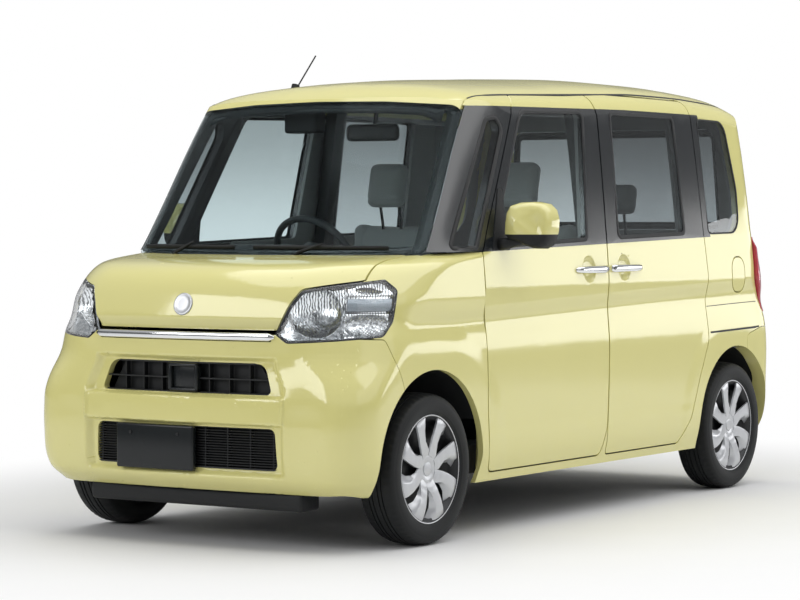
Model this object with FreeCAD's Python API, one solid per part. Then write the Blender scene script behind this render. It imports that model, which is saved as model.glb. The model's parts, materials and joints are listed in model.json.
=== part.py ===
import FreeCAD, Part
import math
import os

# Kei car, a tall one-box body with sliding rear side doors. Millimetres.
# The front faces -Y, the car's left is +X, the origin is on the ground at the middle of the car.

V = FreeCAD.Vector
UP = V(0, 0, 1)
SIDEWAYS = V(1, 0, 0)
BACKWARDS = V(0, 1, 0)

# Overall size
WHEELBASE = 2455.0
FRONT_OVERHANG = 540.0
REAR_OVERHANG = 400.0
WIDTH = 1475.0
HEIGHT = 1750.0
SILL_BOTTOM = 195.0
BELT = 1050.0

# Wheels and tyres
TYRE_RADIUS = 272.0
TYRE_WIDTH = 155.0
RIM_RADIUS = 178.0
RIM_WALL = 12.0
RIM_WIDTH = 132.0
FLANGE_RADIUS = 192.0
FRONT_TRACK = 1305.0
REAR_TRACK = 1295.0
HUB_BORE = 17.0
RUNNING_GAP = 0.3

# Walls and gaps
DOOR_THICKNESS = 58.0
GLASSHOUSE_THICKNESS = 44.0
ROOF_THICKNESS = 34.0
PANEL_THICKNESS = 24.0
GLASS = 5.0
PANEL_GAP = 6.0
SEAT_GAP = 0.3
LID_THICKNESS = 14.0
LID_POCKET = 20.0

# Arches
FRONT_ARCH_RADIUS = 345.0
REAR_ARCH_RADIUS = 335.0
ARCH_HEIGHT = 282.0

# Number plate holes
PLATE_X = -107.0
PLATE_HOLE_Z = 402.0
PLATE_SPACING = 210.0
PLATE_HOLE_RADIUS = 3.5

# Tailgate hinges
HINGE_X = 195.0
HINGE_Y = 2700.0
HINGE_Z = 1665.0
HINGE_RADIUS = 6.0

# Steering
KINGPIN_FOOT = V(600, 0, 190)
KINGPIN_LEAN = 12.0

HALF = WIDTH / 2
FRONT_AXLE = -(FRONT_OVERHANG + WHEELBASE + REAR_OVERHANG) / 2 + FRONT_OVERHANG
AXLE_HEIGHT = TYRE_RADIUS
TALL = HEIGHT / 1750.0
WIDE = HALF / 737.5


def at(x, y, z):
    """A point whose y is measured back from the front axle."""
    return V(x, FRONT_AXLE + y, z)


# Plain helpers

def box(x0, x1, y0, y1, z0, z1):
    """A box between two corners, y measured back from the front axle."""
    return Part.makeBox(x1 - x0, y1 - y0, z1 - z0, at(x0, y0, z0))


def rod(start, end, radius):
    return Part.makeCylinder(radius, (end - start).Length, start, end - start)


def tube(start, end, outer, inner):
    return rod(start, end, outer).cut(rod(start, end, inner))


def mirror(shape):
    return shape.mirror(V(0, 0, 0), SIDEWAYS)


def fuse(shapes):
    whole = shapes[0]
    for shape in shapes[1:]:
        whole = whole.fuse(shape)
    return whole.removeSplitter()


def biggest(shape, count=1):
    """The largest solids of a cut, without its slivers."""
    solids = sorted(shape.Solids, key=lambda solid: -solid.Volume)
    if count == 1:
        return solids[0]
    return Part.makeCompound(solids[:count])


def save(name, shape):
    shape.exportStep("parts/" + name + ".step")
    centre = shape.BoundBox
    print("%-22s solids %d valid %s volume %.2f l  x %.0f..%.0f y %.0f..%.0f z %.0f..%.0f" % (
        name, len(shape.Solids), shape.isValid(), shape.Volume / 1e6,
        centre.XMin, centre.XMax, centre.YMin, centre.YMax, centre.ZMin, centre.ZMax))


# Outlines: a list of (u, v, corner radius)

def outline_edges(corners, place):
    """Straight runs joined by tangent arcs through the listed corners."""
    points = [place(u, v) for u, v, r in corners]
    count = len(points)
    starts = []
    ends = []
    mids = []
    for i in range(count):
        here = points[i]
        back = (points[i - 1] - here)
        ahead = (points[(i + 1) % count] - here)
        radius = corners[i][2]
        half_angle = back.getAngle(ahead) / 2
        reach = radius / math.tan(half_angle) if radius > 0 else 0
        back.normalize()
        ahead.normalize()
        starts.append(here + back * reach)
        ends.append(here + ahead * reach)
        middle = back + ahead
        if radius > 0:
            middle.normalize()
            mids.append(here + middle * (radius / math.sin(half_angle) - radius))
        else:
            mids.append(here)
    edges = []
    for i in range(count):
        if corners[i][2] > 0:
            edges.append(Part.Arc(starts[i], mids[i], ends[i]).toShape())
        following = starts[(i + 1) % count]
        if (following - ends[i]).Length > 1e-3:
            edges.append(Part.makeLine(ends[i], following))
    return edges


def side_face(corners, x, grow=0.0):
    """A face in a plane seen from the side, corners given as (y, z, radius)."""
    wire = Part.Wire(outline_edges(corners, lambda y, z: at(x, y, z)))
    face = Part.Face(wire)
    if grow:
        face = face.makeOffset2D(grow)
    return face


def side_prism(corners, x0, x1, grow=0.0):
    return side_face(corners, x0, grow).extrude(V(x1 - x0, 0, 0))


def front_prism(corners, y0, y1, grow=0.0):
    """A prism along the car, corners given as (x, z, radius)."""
    wire = Part.Wire(outline_edges(corners, lambda x, z: at(x, y0, z)))
    face = Part.Face(wire)
    if grow:
        face = face.makeOffset2D(grow)
    return face.extrude(V(0, y1 - y0, 0))


def plan_prism(corners, z0, z1, grow=0.0):
    """An upright prism, corners given as (x, y, radius)."""
    wire = Part.Wire(outline_edges(corners, lambda x, y: at(x, y, z0)))
    face = Part.Face(wire)
    if grow:
        face = face.makeOffset2D(grow)
    return face.extrude(V(0, 0, z1 - z0))


# Smooth tables

def smooth(table, key):
    """Reads a table of (key, value...) by monotone cubic curves, so nothing swings past its rows."""
    last = len(table) - 1
    place = 0
    while place < last - 1 and table[place + 1][0] < key:
        place += 1
    span = table[place + 1][0] - table[place][0]
    t = min(max((key - table[place][0]) / span, 0.0), 1.0)
    values = []
    for column in range(1, len(table[0])):

        def slope(row):
            return (table[row + 1][column] - table[row][column]) / (table[row + 1][0] - table[row][0])

        def tangent(row):
            if row == 0:
                return slope(0)
            if row == last:
                return slope(last - 1)
            before = slope(row - 1)
            after = slope(row)
            if before * after <= 0:
                return 0.0
            return 2 * before * after / (before + after)

        low = table[place][column]
        high = table[place + 1][column]
        values.append(
            (2 * t ** 3 - 3 * t ** 2 + 1) * low + (t ** 3 - 2 * t ** 2 + t) * span * tangent(place)
            + (3 * t ** 2 - 2 * t ** 3) * high + (t ** 3 - t ** 2) * span * tangent(place + 1))
    return values


# Body surfaces: heights from the ground, y back from the front axle.
# Half width of the side at each height
SIDE = [(195, 700), (230, 710), (270, 722), (310, 731), (380, 733), (450, 735), (600, 737.5),
        (690, 737), (750, 732), (800, 725), (835, 728), (870, 734), (960, 729), (1050, 722),
        (1100, 716), (1250, 699), (1400, 681), (1530, 664), (1590, 655), (1640, 645), (1800, 610)]
# Tail line and how far its middle bows out
REAR = [(195, 2800), (230, 2826), (270, 2843), (345, 2854), (450, 2855), (600, 2855), (680, 2846),
        (750, 2829), (820, 2788), (880, 2766), (960, 2748), (1072, 2737), (1250, 2733),
        (1420, 2725), (1576, 2711), (1640, 2702), (1720, 2686), (1800, 2665)]
REAR_BOW = 25.0
REAR_CORNER = 100.0
# Nose: height, line, bow, corner width, corner depth
FRONT = [(195, -468, 60, 150, 170), (225, -505, 60, 140, 160), (262, -524, 60, 135, 152),
         (305, -534, 60, 135, 150), (345, -538, 60, 135, 150), (420, -540, 60, 135, 150),
         (520, -537, 62, 140, 155), (580, -531, 68, 165, 175), (637, -525, 78, 225, 215),
         (690, -523, 86, 280, 245), (745, -524, 90, 300, 260), (800, -517, 96, 310, 290),
         (865, -502, 106, 318, 320), (920, -482, 116, 326, 345), (955, -455, 121, 326, 368),
         (980, -420, 120, 320, 380), (1000, -362, 115, 290, 390), (1014, -270, 104, 250, 395),
         (1025, -140, 92, 200, 380), (1034, -20, 84, 160, 350), (1042, 60, 80, 140, 300)]
# Windscreen: height, line, bow, corner width, corner depth
SCREEN = [(195, -48, 100, 105, 200), (1000, -48, 100, 105, 220), (1050, -14, 100, 105, 330),
          (1100, 20, 99, 105, 370), (1250, 118, 96, 105, 350), (1400, 212, 92, 105, 325),
          (1530, 295, 88, 108, 305), (1590, 333, 85, 112, 300), (1640, 366, 85, 114, 298),
          (1800, 470, 84, 116, 290)]
# Roof: y, height on the centreline, share of the full crown
ROOF = [(-120, 1300, 0.5), (150, 1500, 0.55), (300, 1594, 0.6), (360, 1622, 0.62), (420, 1650, 0.66), (500, 1675, 0.72),
        (600, 1690, 0.8), (740, 1703, 0.88), (950, 1716, 0.95), (1200, 1728, 1.0),
        (1500, 1742, 1.0), (1800, 1750, 1.0), (2100, 1749, 1.0), (2350, 1741, 1.0),
        (2500, 1731, 0.98), (2600, 1717, 0.95), (2680, 1694, 0.9), (2740, 1655, 0.85), (2800, 1590, 0.8),
        (2900, 1480, 0.8)]
# Roof crown: distance from the centreline, drop
CROWN = [(0, 0), (200, 6), (350, 19), (450, 33), (520, 49), (570, 67), (605, 88), (635, 116),
         (656, 152), (672, 200), (700, 300), (730, 410), (770, 560)]
# Wall parameters of a plan outline
CORNER_STEPS = 40


def plan_points(half, nose, bow, width, depth, tail, inset):
    """Half a plan outline from the middle of the nose round the side to the middle of the tail."""
    half = half * WIDE - inset
    width = max(width - inset, 12)
    depth = max(depth - inset, 12)
    corner = max(REAR_CORNER - inset, 12)
    points = []
    flat = half - width
    for i in range(20):
        x = flat * i / 20
        points.append((x, nose + inset + bow * (x / half) ** 2))
    for i in range(CORNER_STEPS + 1):
        turn = math.pi / 2 * i / CORNER_STEPS
        x = flat + width * math.sin(turn)
        points.append((x, nose + inset + bow * (x / half) ** 2 + depth * (1 - math.cos(turn))))
    back = []
    flat = half - corner
    for i in range(20):
        x = flat * i / 20
        back.append((x, tail - inset - REAR_BOW * (x / half) ** 2))
    for i in range(CORNER_STEPS + 1):
        turn = math.pi / 2 * i / CORNER_STEPS
        x = flat + corner * math.sin(turn)
        back.append((x, tail - inset - REAR_BOW * (x / half) ** 2 - corner * (1 - math.cos(turn))))
    start = points[-1][1]
    stop = back[-1][1]
    for i in range(1, 8):
        points.append((half, start + (stop - start) * i / 8))
    return points + back[::-1]


def spread(points, shares):
    """Points at the given shares of the length of a polyline."""
    path = [0.0]
    for i in range(1, len(points)):
        path.append(path[-1] + math.dist(points[i], points[i - 1]))
    found = []
    place = 0
    for share in shares:
        wanted = share * path[-1]
        while place < len(path) - 2 and path[place + 1] < wanted:
            place += 1
        t = (wanted - path[place]) / (path[place + 1] - path[place])
        found.append(tuple(a + (b - a) * t for a, b in zip(points[place], points[place + 1])))
    return found


# Where along half the outline the curve has its points: many round the nose and tail, few along the side
SHARES = ([0.34 * i / 24 for i in range(24)] + [0.34 + 0.42 * i / 10 for i in range(10)]
          + [0.76 + 0.24 * i / 18 for i in range(19)])


def plan_wire(points, z):
    """One closed smooth curve through the half outline and its mirror image."""
    half = spread(points, SHARES)
    ring = [at(x, y, z) for x, y in half] + [at(-x, y, z) for x, y in half[1:-1][::-1]]
    places = [share / 2 for share in SHARES] + [1 - share / 2 for share in SHARES[1:-1][::-1]] + [1.0]
    curve = Part.BSplineCurve()
    curve.interpolate(Points=ring, Parameters=places, PeriodicFlag=True)
    return Part.Wire([curve.toShape()])


def even_levels(table, count, low, high):
    """Heights spaced evenly along the nose profile, so that the loft's ribs stay even."""
    fine = 400
    path = [0.0]
    heights = [low + (high - low) * i / fine for i in range(fine + 1)]
    noses = [smooth(table, z)[0] for z in heights]
    for i in range(fine):
        path.append(path[-1] + math.hypot(heights[i + 1] - heights[i], noses[i + 1] - noses[i]))
    levels = []
    place = 0
    for i in range(count + 1):
        wanted = path[-1] * i / count
        while place < fine - 1 and path[place + 1] < wanted:
            place += 1
        t = (wanted - path[place]) / (path[place + 1] - path[place])
        levels.append(heights[place] + (heights[place + 1] - heights[place]) * t)
    return levels


def plan_loft(front_table, count, low, high, inset, lift=0.0):
    """A volume whose plan outline at each height follows the tables, moved inwards by inset."""
    ribs = []
    for level in even_levels(front_table, count, low, high):
        nose, bow, width, depth = smooth(front_table, level)
        half = smooth(SIDE, level)[0]
        tail = smooth(REAR, level)[0]
        points = plan_points(half, nose, bow, width, depth, tail, inset)
        ribs.append(plan_wire(points, level - lift))
    return Part.makeLoft(ribs, True, False)


def roof_volume(drop):
    """Everything below the roof surface moved down by drop."""
    ribs = []
    reach = CROWN[-1][0]
    steps = [reach * math.sin(math.pi / 2 * i / 16) for i in range(17)]
    first = ROOF[0][0]
    last = ROOF[-1][0]
    for y in [first + (last - first) * i / 30 for i in range(31)]:
        middle, share = smooth(ROOF, y)
        arch = []
        for x in steps:
            arch.append((x, middle * TALL - drop - share * smooth(CROWN, x)[0]))
        points = [at(-x, y, z) for x, z in arch[:0:-1]] + [at(x, y, z) for x, z in arch]
        curve = Part.BSplineCurve()
        curve.interpolate(Points=points, Parameters=[float(i) for i in range(len(points))])
        left = points[0]
        right = points[-1]
        corner_left = V(left.x, left.y, 100)
        corner_right = V(right.x, right.y, 100)
        edges = [curve.toShape(), Part.makeLine(right, corner_right),
                 Part.makeLine(corner_right, corner_left), Part.makeLine(corner_left, left)]
        ribs.append(Part.Wire(edges))
    return Part.makeLoft(ribs, True, False)


def front_volume(inset):
    """The bonnet, wings and nose, whole back to the cabin."""
    lift = inset
    low = 195
    volume = plan_loft(FRONT, 34, low, 1042, inset, lift)
    return volume.common(box(-800, 800, -600, 700, 100, 1100))


def cabin_volume(inset, roof_drop, low=195.0):
    volume = plan_loft(SCREEN, 22, low, 1790, inset)
    return volume.common(roof_volume(roof_drop))


def shifted(shape, x=0.0, y=0.0, z=0.0):
    moved = shape.copy()
    moved.translate(V(x, y, z))
    return moved


# Panel outlines seen from the side: (y back from the front axle, height, corner radius)
FRONT_DOOR = [(412, 232, 30), (394, 300, 80), (376, 465, 300), (361, 800, 300), (358, 1040, 40),
              (676, 1572, 90), (752, 1634, 60), (900, 1657, 200), (1338, 1663, 12), (1305, 1053, 200),
              (1299, 824, 300), (1296, 447, 60), (1292, 340, 60), (1262, 232, 30)]
SLIDE_DOOR = [(1313, 232, 20), (1303, 340, 60), (1305, 447, 60), (1308, 824, 300), (1314, 1053, 200),
              (1347, 1663, 12), (2160, 1658, 30), (2170, 1092, 100), (2186, 900, 30), (2164, 822, 20),
              (2183, 650, 80), (2104, 500, 120), (2032, 330, 60), (1940, 232, 30)]
DOOR_GLASS = [(428, 1060, 25), (733, 1572, 70), (1222, 1584, 25), (1152, 1082, 25)]
SLIDE_GLASS = [(1412, 1088, 25), (1448, 1588, 25), (1998, 1588, 25), (1998, 1101, 25)]
FRONT_QUARTER_GLASS = [(178, 1056, 10), (322, 1056, 15), (590, 1500, 60), (560, 1545, 20), (505, 1535, 30)]
REAR_QUARTER_GLASS = [(2222, 1100, 25), (2222, 1585, 25), (2474, 1581, 70), (2530, 1290, 250), (2518, 1104, 85)]
FUEL_LID = [(2422, 850, 50), (2422, 996, 50), (2540, 996, 50), (2540, 850, 50)]
# Seen from the front: (x, height, corner radius)
SCREEN_GLASS = [(-650, 1034, 30), (-596, 1584, 50), (-300, 1603, 900), (0, 1608, 900), (300, 1603, 900),
                (596, 1584, 50), (650, 1034, 30), (300, 1020, 900), (0, 1018, 900), (-300, 1020, 900)]
TAILGATE = [(-628, 690, 25), (-640, 900, 80), (-622, 1100, 200), (-590, 1540, 80), (-572, 1606, 40),
            (-500, 1632, 150), (-400, 1650, 400), (-250, 1666, 600), (0, 1676, 900), (250, 1666, 600),
            (400, 1650, 400), (500, 1632, 150), (572, 1606, 40), (590, 1540, 80), (622, 1100, 200),
            (640, 900, 80), (628, 690, 25)]
TAILGATE_GLASS = [(-545, 1115, 40), (-520, 1560, 50), (520, 1560, 50), (545, 1115, 40)]
BONNET_FRONT = [(-395, 776, 6), (395, 776, 6), (431, 868, 60), (462, 921, 25), (545, 936, 200),
                (626, 950, 20), (650, 1100, 0), (-650, 1100, 0), (-626, 950, 20), (-545, 936, 200),
                (-462, 921, 25), (-431, 868, 60)]
# From above: (x, y, corner radius)
BONNET_PLAN = [(-700, -600, 0), (700, -600, 0), (623, -290, 100), (611, -190, 100), (600, -60, 100),
               (604, 38, 20), (400, -28, 300), (0, -66, 900), (-400, -28, 300), (-604, 38, 20),
               (-600, -60, 100), (-611, -190, 100), (-623, -290, 100)]
# Headlamp: distance along the lamp's own plane, which is turned LAMP_TURN from the front, and height.
# Its housing reaches in as far as LAMP_BACK from the middle of the front axle.
LAMP_TURN = 40.0
LAMP_BACK = 530.0
HEADLAMP = [(-18, 762, 12), (28, 868, 60), (66, 918, 25), (180, 932, 250), (372, 952, 15), (417, 915, 20),
            (397, 805, 60), (357, 752, 30), (200, 741, 250), (98, 735, 200), (20, 731, 20)]
# Tail lamp seen from the side and how far it reaches round the back
TAIL_LAMP = [(2712, 772, 15), (2634, 905, 60), (2650, 1084, 8), (2900, 1084, 0), (2900, 756, 0), (2740, 756, 12)]
TAIL_LAMP_INNER = 646.0
BUMPER_SEAM = [(-700, 150, 0), (-190, 150, 0), (-190, 540, 40), (-210, 591, 100), (-257, 673, 100),
               (-284, 742, 12), (-420, 748, 60), (-560, 771, 0), (-700, 771, 0)]
REAR_BUMPER = [(2560, 150, 0), (2560, 660, 30), (2700, 690, 100), (2960, 690, 0), (2960, 150, 0)]


def lamp_prism(corners, x_side, grow=0.0):
    """A prism square to the headlamp's plane, on the left for x_side 1, on the right for -1."""
    turn = math.radians(LAMP_TURN)
    along = V(math.cos(turn), math.sin(turn), 0)
    out = V(math.sin(turn), -math.cos(turn), 0)
    base = at(0, 0, 0) + out * LAMP_BACK
    wire = Part.Wire(outline_edges(corners, lambda s, z: base + along * s + UP * z))
    face = Part.Face(wire)
    if grow:
        face = face.makeOffset2D(grow)
    prism = face.extrude(out * 360)
    return prism if x_side > 0 else mirror(prism)


def both(shape):
    return fuse([shape, mirror(shape)])


def pair(shape):
    """The left solid and its mirror image, as two solids of one node."""
    return Part.makeCompound([shape, mirror(shape)])


print("volumes")
FRONT_OUT = front_volume(0)
FRONT_SHELL = FRONT_OUT.cut(front_volume(PANEL_THICKNESS))
CABIN = cabin_volume(0, 0)
SKIN = CABIN.copy()
LOW_BOX = box(-900, 900, -700, 3000, 0, BELT)
HIGH_BOX = box(-900, 900, -700, 3000, BELT, 1900)
LOW_WALL = CABIN.common(LOW_BOX).cut(plan_loft(SCREEN, 22, 195, 1790, DOOR_THICKNESS))
HIGH_WALL = CABIN.common(HIGH_BOX).cut(cabin_volume(GLASSHOUSE_THICKNESS, ROOF_THICKNESS))
WALL = LOW_WALL.fuse(HIGH_WALL)
print("wall", WALL.isValid(), len(WALL.Solids))

ARCH_FRONT = rod(at(400, 0, ARCH_HEIGHT), at(900, 0, ARCH_HEIGHT), FRONT_ARCH_RADIUS)
ARCH_REAR = rod(at(500, WHEELBASE, ARCH_HEIGHT), at(900, WHEELBASE, ARCH_HEIGHT), REAR_ARCH_RADIUS)


def layer(prism, x=0.0, y=0.0, depth=2.0):
    """A pane of glass: the slice of the body surface, GLASS thick, inside a prism."""
    length = math.hypot(x, y)
    x = x / length
    y = y / length
    outer = shifted(SKIN, x * depth, y * depth)
    inner = shifted(SKIN, x * (depth + GLASS), y * (depth + GLASS))
    return biggest(prism.common(outer).cut(inner))


def make_front_panels():
    bonnet_region = front_prism(BONNET_FRONT, -700, 300).common(plan_prism(BONNET_PLAN, 700, 1100))
    bonnet_gap = front_prism(BONNET_FRONT, -700, 300, PANEL_GAP).common(
        plan_prism(BONNET_PLAN, 700, 1100, PANEL_GAP))
    bonnet = biggest(FRONT_SHELL.common(bonnet_region))
    lamp_hole = both(lamp_prism(HEADLAMP, 1, SEAT_GAP))
    bumper_region = side_prism(BUMPER_SEAM, -900, 900)
    bumper = FRONT_SHELL.common(bumper_region).cut(bonnet_gap).cut(lamp_hole)
    bumper = bumper.cut(fuse([ARCH_FRONT, mirror(ARCH_FRONT)]))
    fender_region = box(100, 900, -320, 420, 190, 1100)
    fender = FRONT_SHELL.common(fender_region).cut(side_prism(BUMPER_SEAM, -900, 900, 3.0))
    fender = fender.cut(bonnet_gap).cut(lamp_hole).cut(ARCH_FRONT)
    fender = fender.cut(side_prism(FRONT_DOOR, 300, 900, PANEL_GAP))
    fender = fender.cut(box(100, 597, -400, 60, 900, 1100)).cut(box(100, 640, 60, 500, 900, 1100))
    fender = fender.cut(front_prism(SCREEN_GLASS, -200, 620, SEAT_GAP))
    fender = biggest(fender.cut(box(100, 600, -400, 600, 100, 900)))
    upper = [(-388, 549, 16), (-350, 657, 46), (350, 657, 46), (388, 549, 16)]
    lower = [(-412, 288, 22), (-404, 433, 26), (404, 433, 26), (412, 288, 22)]
    openings = fuse([front_prism(upper, -700, -300), front_prism(lower, -700, -300)])
    bumper = biggest(bumper.cut(openings))
    bar = [(-380, 736, 6), (-380, 768, 6), (380, 768, 6), (380, 736, 6)]
    slot = front_prism(bar, -700, -300)
    bumper = biggest(bumper.cut(slot))
    bar_solid = biggest(slot.common(front_volume(-3)).cut(front_volume(14)))
    grilles = []
    for corners, rows, columns, front, bow in ((upper, 3, 9, -514, 3600), (lower, 5, 21, -526, 4480)):
        hole = front_prism(corners, -700, -300)
        middle = at(0, front + bow, 0)
        band = tube(middle, middle + UP * 800, bow, bow - 16)
        frame = band.common(hole.common(box(-500, 500, -700, -350, 200, 700)))
        low = corners[0][1]
        high = corners[1][1]
        wide = corners[3][0]
        cuts = []
        for i in range(1, columns - 1):
            for j in range(rows):
                x0 = -wide + 2 * wide * i / columns + 4
                x1 = -wide + 2 * wide * (i + 1) / columns - 4
                z0 = low + (high - low) * j / rows + 4
                z1 = low + (high - low) * (j + 1) / rows - 4
                cuts.append(box(x0, x1, -600, -300, z0, z1))
        grille = biggest(frame.cut(cuts))
        if corners is lower:
            carrier = box(PLATE_X - 171, PLATE_X + 171, -538, -500, 292, 430)
            carrier = carrier.cut(rod(middle, middle + UP * 800, bow - 16))
            grille = grille.fuse(carrier)
            for side in (-1, 1):
                x = PLATE_X + side * PLATE_SPACING / 2
                hole = rod(at(x, -600, PLATE_HOLE_Z), at(x, -400, PLATE_HOLE_Z), PLATE_HOLE_RADIUS)
                grille = grille.cut(hole)
        grilles.append(biggest(grille))
    save("bonnet", bonnet)
    save("front_bumper", bumper)
    save("fender_left", fender)
    save("fender_right", mirror(fender))
    save("grille_bar", bar_solid)
    save("grilles", Part.makeCompound(grilles))
    lamp = front_volume(0).cut(front_volume(120)).common(lamp_prism(HEADLAMP, 1)).cut(bonnet_gap)
    lamp = lamp.cut(rod(at(0, 0, ARCH_HEIGHT), at(900, 0, ARCH_HEIGHT), FRONT_ARCH_RADIUS + 12))
    save("headlamps", pair(biggest(lamp)))


def make_sides():
    door_prism = side_prism(FRONT_DOOR, 300, 900)
    window = side_prism(DOOR_GLASS, 300, 900)
    rail_gap = roof_region(PANEL_GAP)
    door = biggest(WALL.common(door_prism).cut(window).cut(rail_gap))
    front_gap = side_prism(FRONT_DOOR, 300, 900, PANEL_GAP)
    slide_gap = side_prism(SLIDE_DOOR, 300, 900, PANEL_GAP)
    slide_window = side_prism(SLIDE_GLASS, 300, 900)
    slide = biggest(WALL.common(side_prism(SLIDE_DOOR, 300, 900)).cut(slide_window).cut(rail_gap))
    frame = WALL.common(box(300, 900, -60, 3000, 190, 1900)).cut(front_gap).cut(slide_gap)
    screen = front_prism([(x, z, 0) for x, z, r in SCREEN_GLASS], -200, 620)
    roof_side = roof_region(PANEL_GAP / 3)
    frame = frame.cut(screen).cut(roof_side).cut(tail_region(PANEL_GAP))
    frame = frame.cut(box(300, 900, -200, 420, 0, 1044)).cut(box(200, 500, -200, 900, 0, 1700))
    frame = frame.cut(side_prism(FRONT_QUARTER_GLASS, 300, 900)).cut(side_prism(REAR_QUARTER_GLASS, 300, 900))
    frame = frame.cut(ARCH_REAR)
    pocket = CABIN.cut(shifted(CABIN, x=-LID_POCKET)).common(side_prism(FUEL_LID, 600, 900, PANEL_GAP))
    lid_rest = rod(at(600, 2520, 923), at(900, 2520, 923), 9)
    lid_rest = lid_rest.common(shifted(CABIN, x=-LID_THICKNESS - SEAT_GAP))
    frame = frame.cut(pocket.cut(lid_rest))
    frame = frame.cut(side_prism(REAR_BUMPER, -900, 900, 3.0)).cut(side_prism(TAIL_LAMP, 600, 900, SEAT_GAP))
    solids = sorted(frame.Solids, key=lambda solid: -solid.Volume)
    print("side frame solids", [round(solid.Volume / 1e6, 3) for solid in solids[:6]])
    for name, flip in (("left", False), ("right", True)):
        def placed(shape):
            return mirror(shape) if flip else shape
        save("front_door_" + name, placed(door))
        save("slide_door_" + name, placed(slide))
        save("side_frame_" + name, placed(Part.makeCompound(solids[:3])))
    panes = [layer(window, x=-1), layer(slide_window, x=-1),
             layer(side_prism(FRONT_QUARTER_GLASS, 300, 900), x=-1),
             layer(side_prism(REAR_QUARTER_GLASS, 300, 900), x=-1)]
    save("front_door_glass_left", panes[0])
    save("front_door_glass_right", mirror(panes[0]))
    save("side_glass", Part.makeCompound(panes[1:] + [mirror(pane) for pane in panes[1:]]))
    lid = biggest(CABIN.cut(shifted(CABIN, x=-LID_THICKNESS)).common(side_prism(FUEL_LID, 600, 900)))
    save("fuel_lid", lid)


def roof_region(grow=0.0):
    """The roof panel between the side rails, the windscreen and the tailgate."""
    half = 588 + grow
    return box(-half, half, 250, 2400, 1560 - grow, 1900).fuse(box(-half, half, 250, 3000, 1600 - grow, 1900))


def tail_region(grow=0.0):
    return front_prism(TAILGATE, 2500, 3000, grow)


def make_roof_and_back():
    screen = front_prism(SCREEN_GLASS, -200, 620)
    roof = WALL.common(roof_region()).cut(screen).cut(tail_region(PANEL_GAP))
    lug = rod(at(HINGE_X + RUNNING_GAP / 2, HINGE_Y, HINGE_Z), at(HINGE_X + 25, HINGE_Y, HINGE_Z), HINGE_RADIUS)
    strap = box(HINGE_X + RUNNING_GAP / 2, HINGE_X + 25, 2650, HINGE_Y - HINGE_RADIUS, HINGE_Z, HINGE_Z + 14)
    arm = box(HINGE_X + RUNNING_GAP / 2, HINGE_X + 25, 2680, HINGE_Y, HINGE_Z, HINGE_Z + HINGE_RADIUS)
    lug = lug.fuse(strap).fuse(arm)
    save("roof_panel", fuse([biggest(roof), lug, mirror(lug)]))
    glass = layer(screen.common(box(-900, 900, -200, 560, 900, 1700)), y=1)
    save("windscreen", glass)
    window = front_prism(TAILGATE_GLASS, 2500, 3000)
    gate = WALL.common(tail_region(-0.3)).common(box(-900, 900, 2560, 3000, 600, 1900)).cut(window)
    gate = gate.cut(side_prism(REAR_BUMPER, -900, 900, PANEL_GAP))
    notch = box(HINGE_X - 0.5, HINGE_X + 31, 2600, 2800, HINGE_Z - 12, 1800)
    gate = biggest(gate.cut(notch).cut(mirror(notch)))
    pin = rod(at(HINGE_X - 25, HINGE_Y, HINGE_Z), at(HINGE_X - RUNNING_GAP / 2, HINGE_Y, HINGE_Z), HINGE_RADIUS)
    save("tailgate", fuse([gate, pin, mirror(pin)]))
    save("tailgate_glass", layer(window, y=-1))
    lamp = cabin_shell(-4, 70).common(side_prism(TAIL_LAMP, TAIL_LAMP_INNER, 900))
    save("tail_lamps", pair(biggest(lamp)))
    bumper = WALL.common(side_prism(REAR_BUMPER, -900, 900)).cut(fuse([ARCH_REAR, mirror(ARCH_REAR)]))
    rest = box(380, 420, 2720, 2750, 680, 690 + PANEL_GAP - SEAT_GAP)
    bumper = fuse([biggest(bumper), rest, mirror(rest)])
    save("rear_bumper", biggest(bumper))


def cabin_shell(outer, inner):
    return plan_loft(SCREEN, 22, 195, 1790, outer).cut(plan_loft(SCREEN, 22, 195, 1790, inner))


# Running gear

def kingpin(height, side=1):
    """The point of the steering axis at a height, on the left for side 1."""
    lean = math.tan(math.radians(KINGPIN_LEAN)) * (height - KINGPIN_FOOT.z)
    return at(side * (KINGPIN_FOOT.x - lean), 0, height)


def revolve(points, centre, axis):
    """A ring from (along the axis, radius) points."""
    ring = [centre + axis * a + UP * r for a, r in points]
    face = Part.Face(Part.makePolygon(ring + [ring[0]]))
    return face.revolve(centre, axis, 360)


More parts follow.
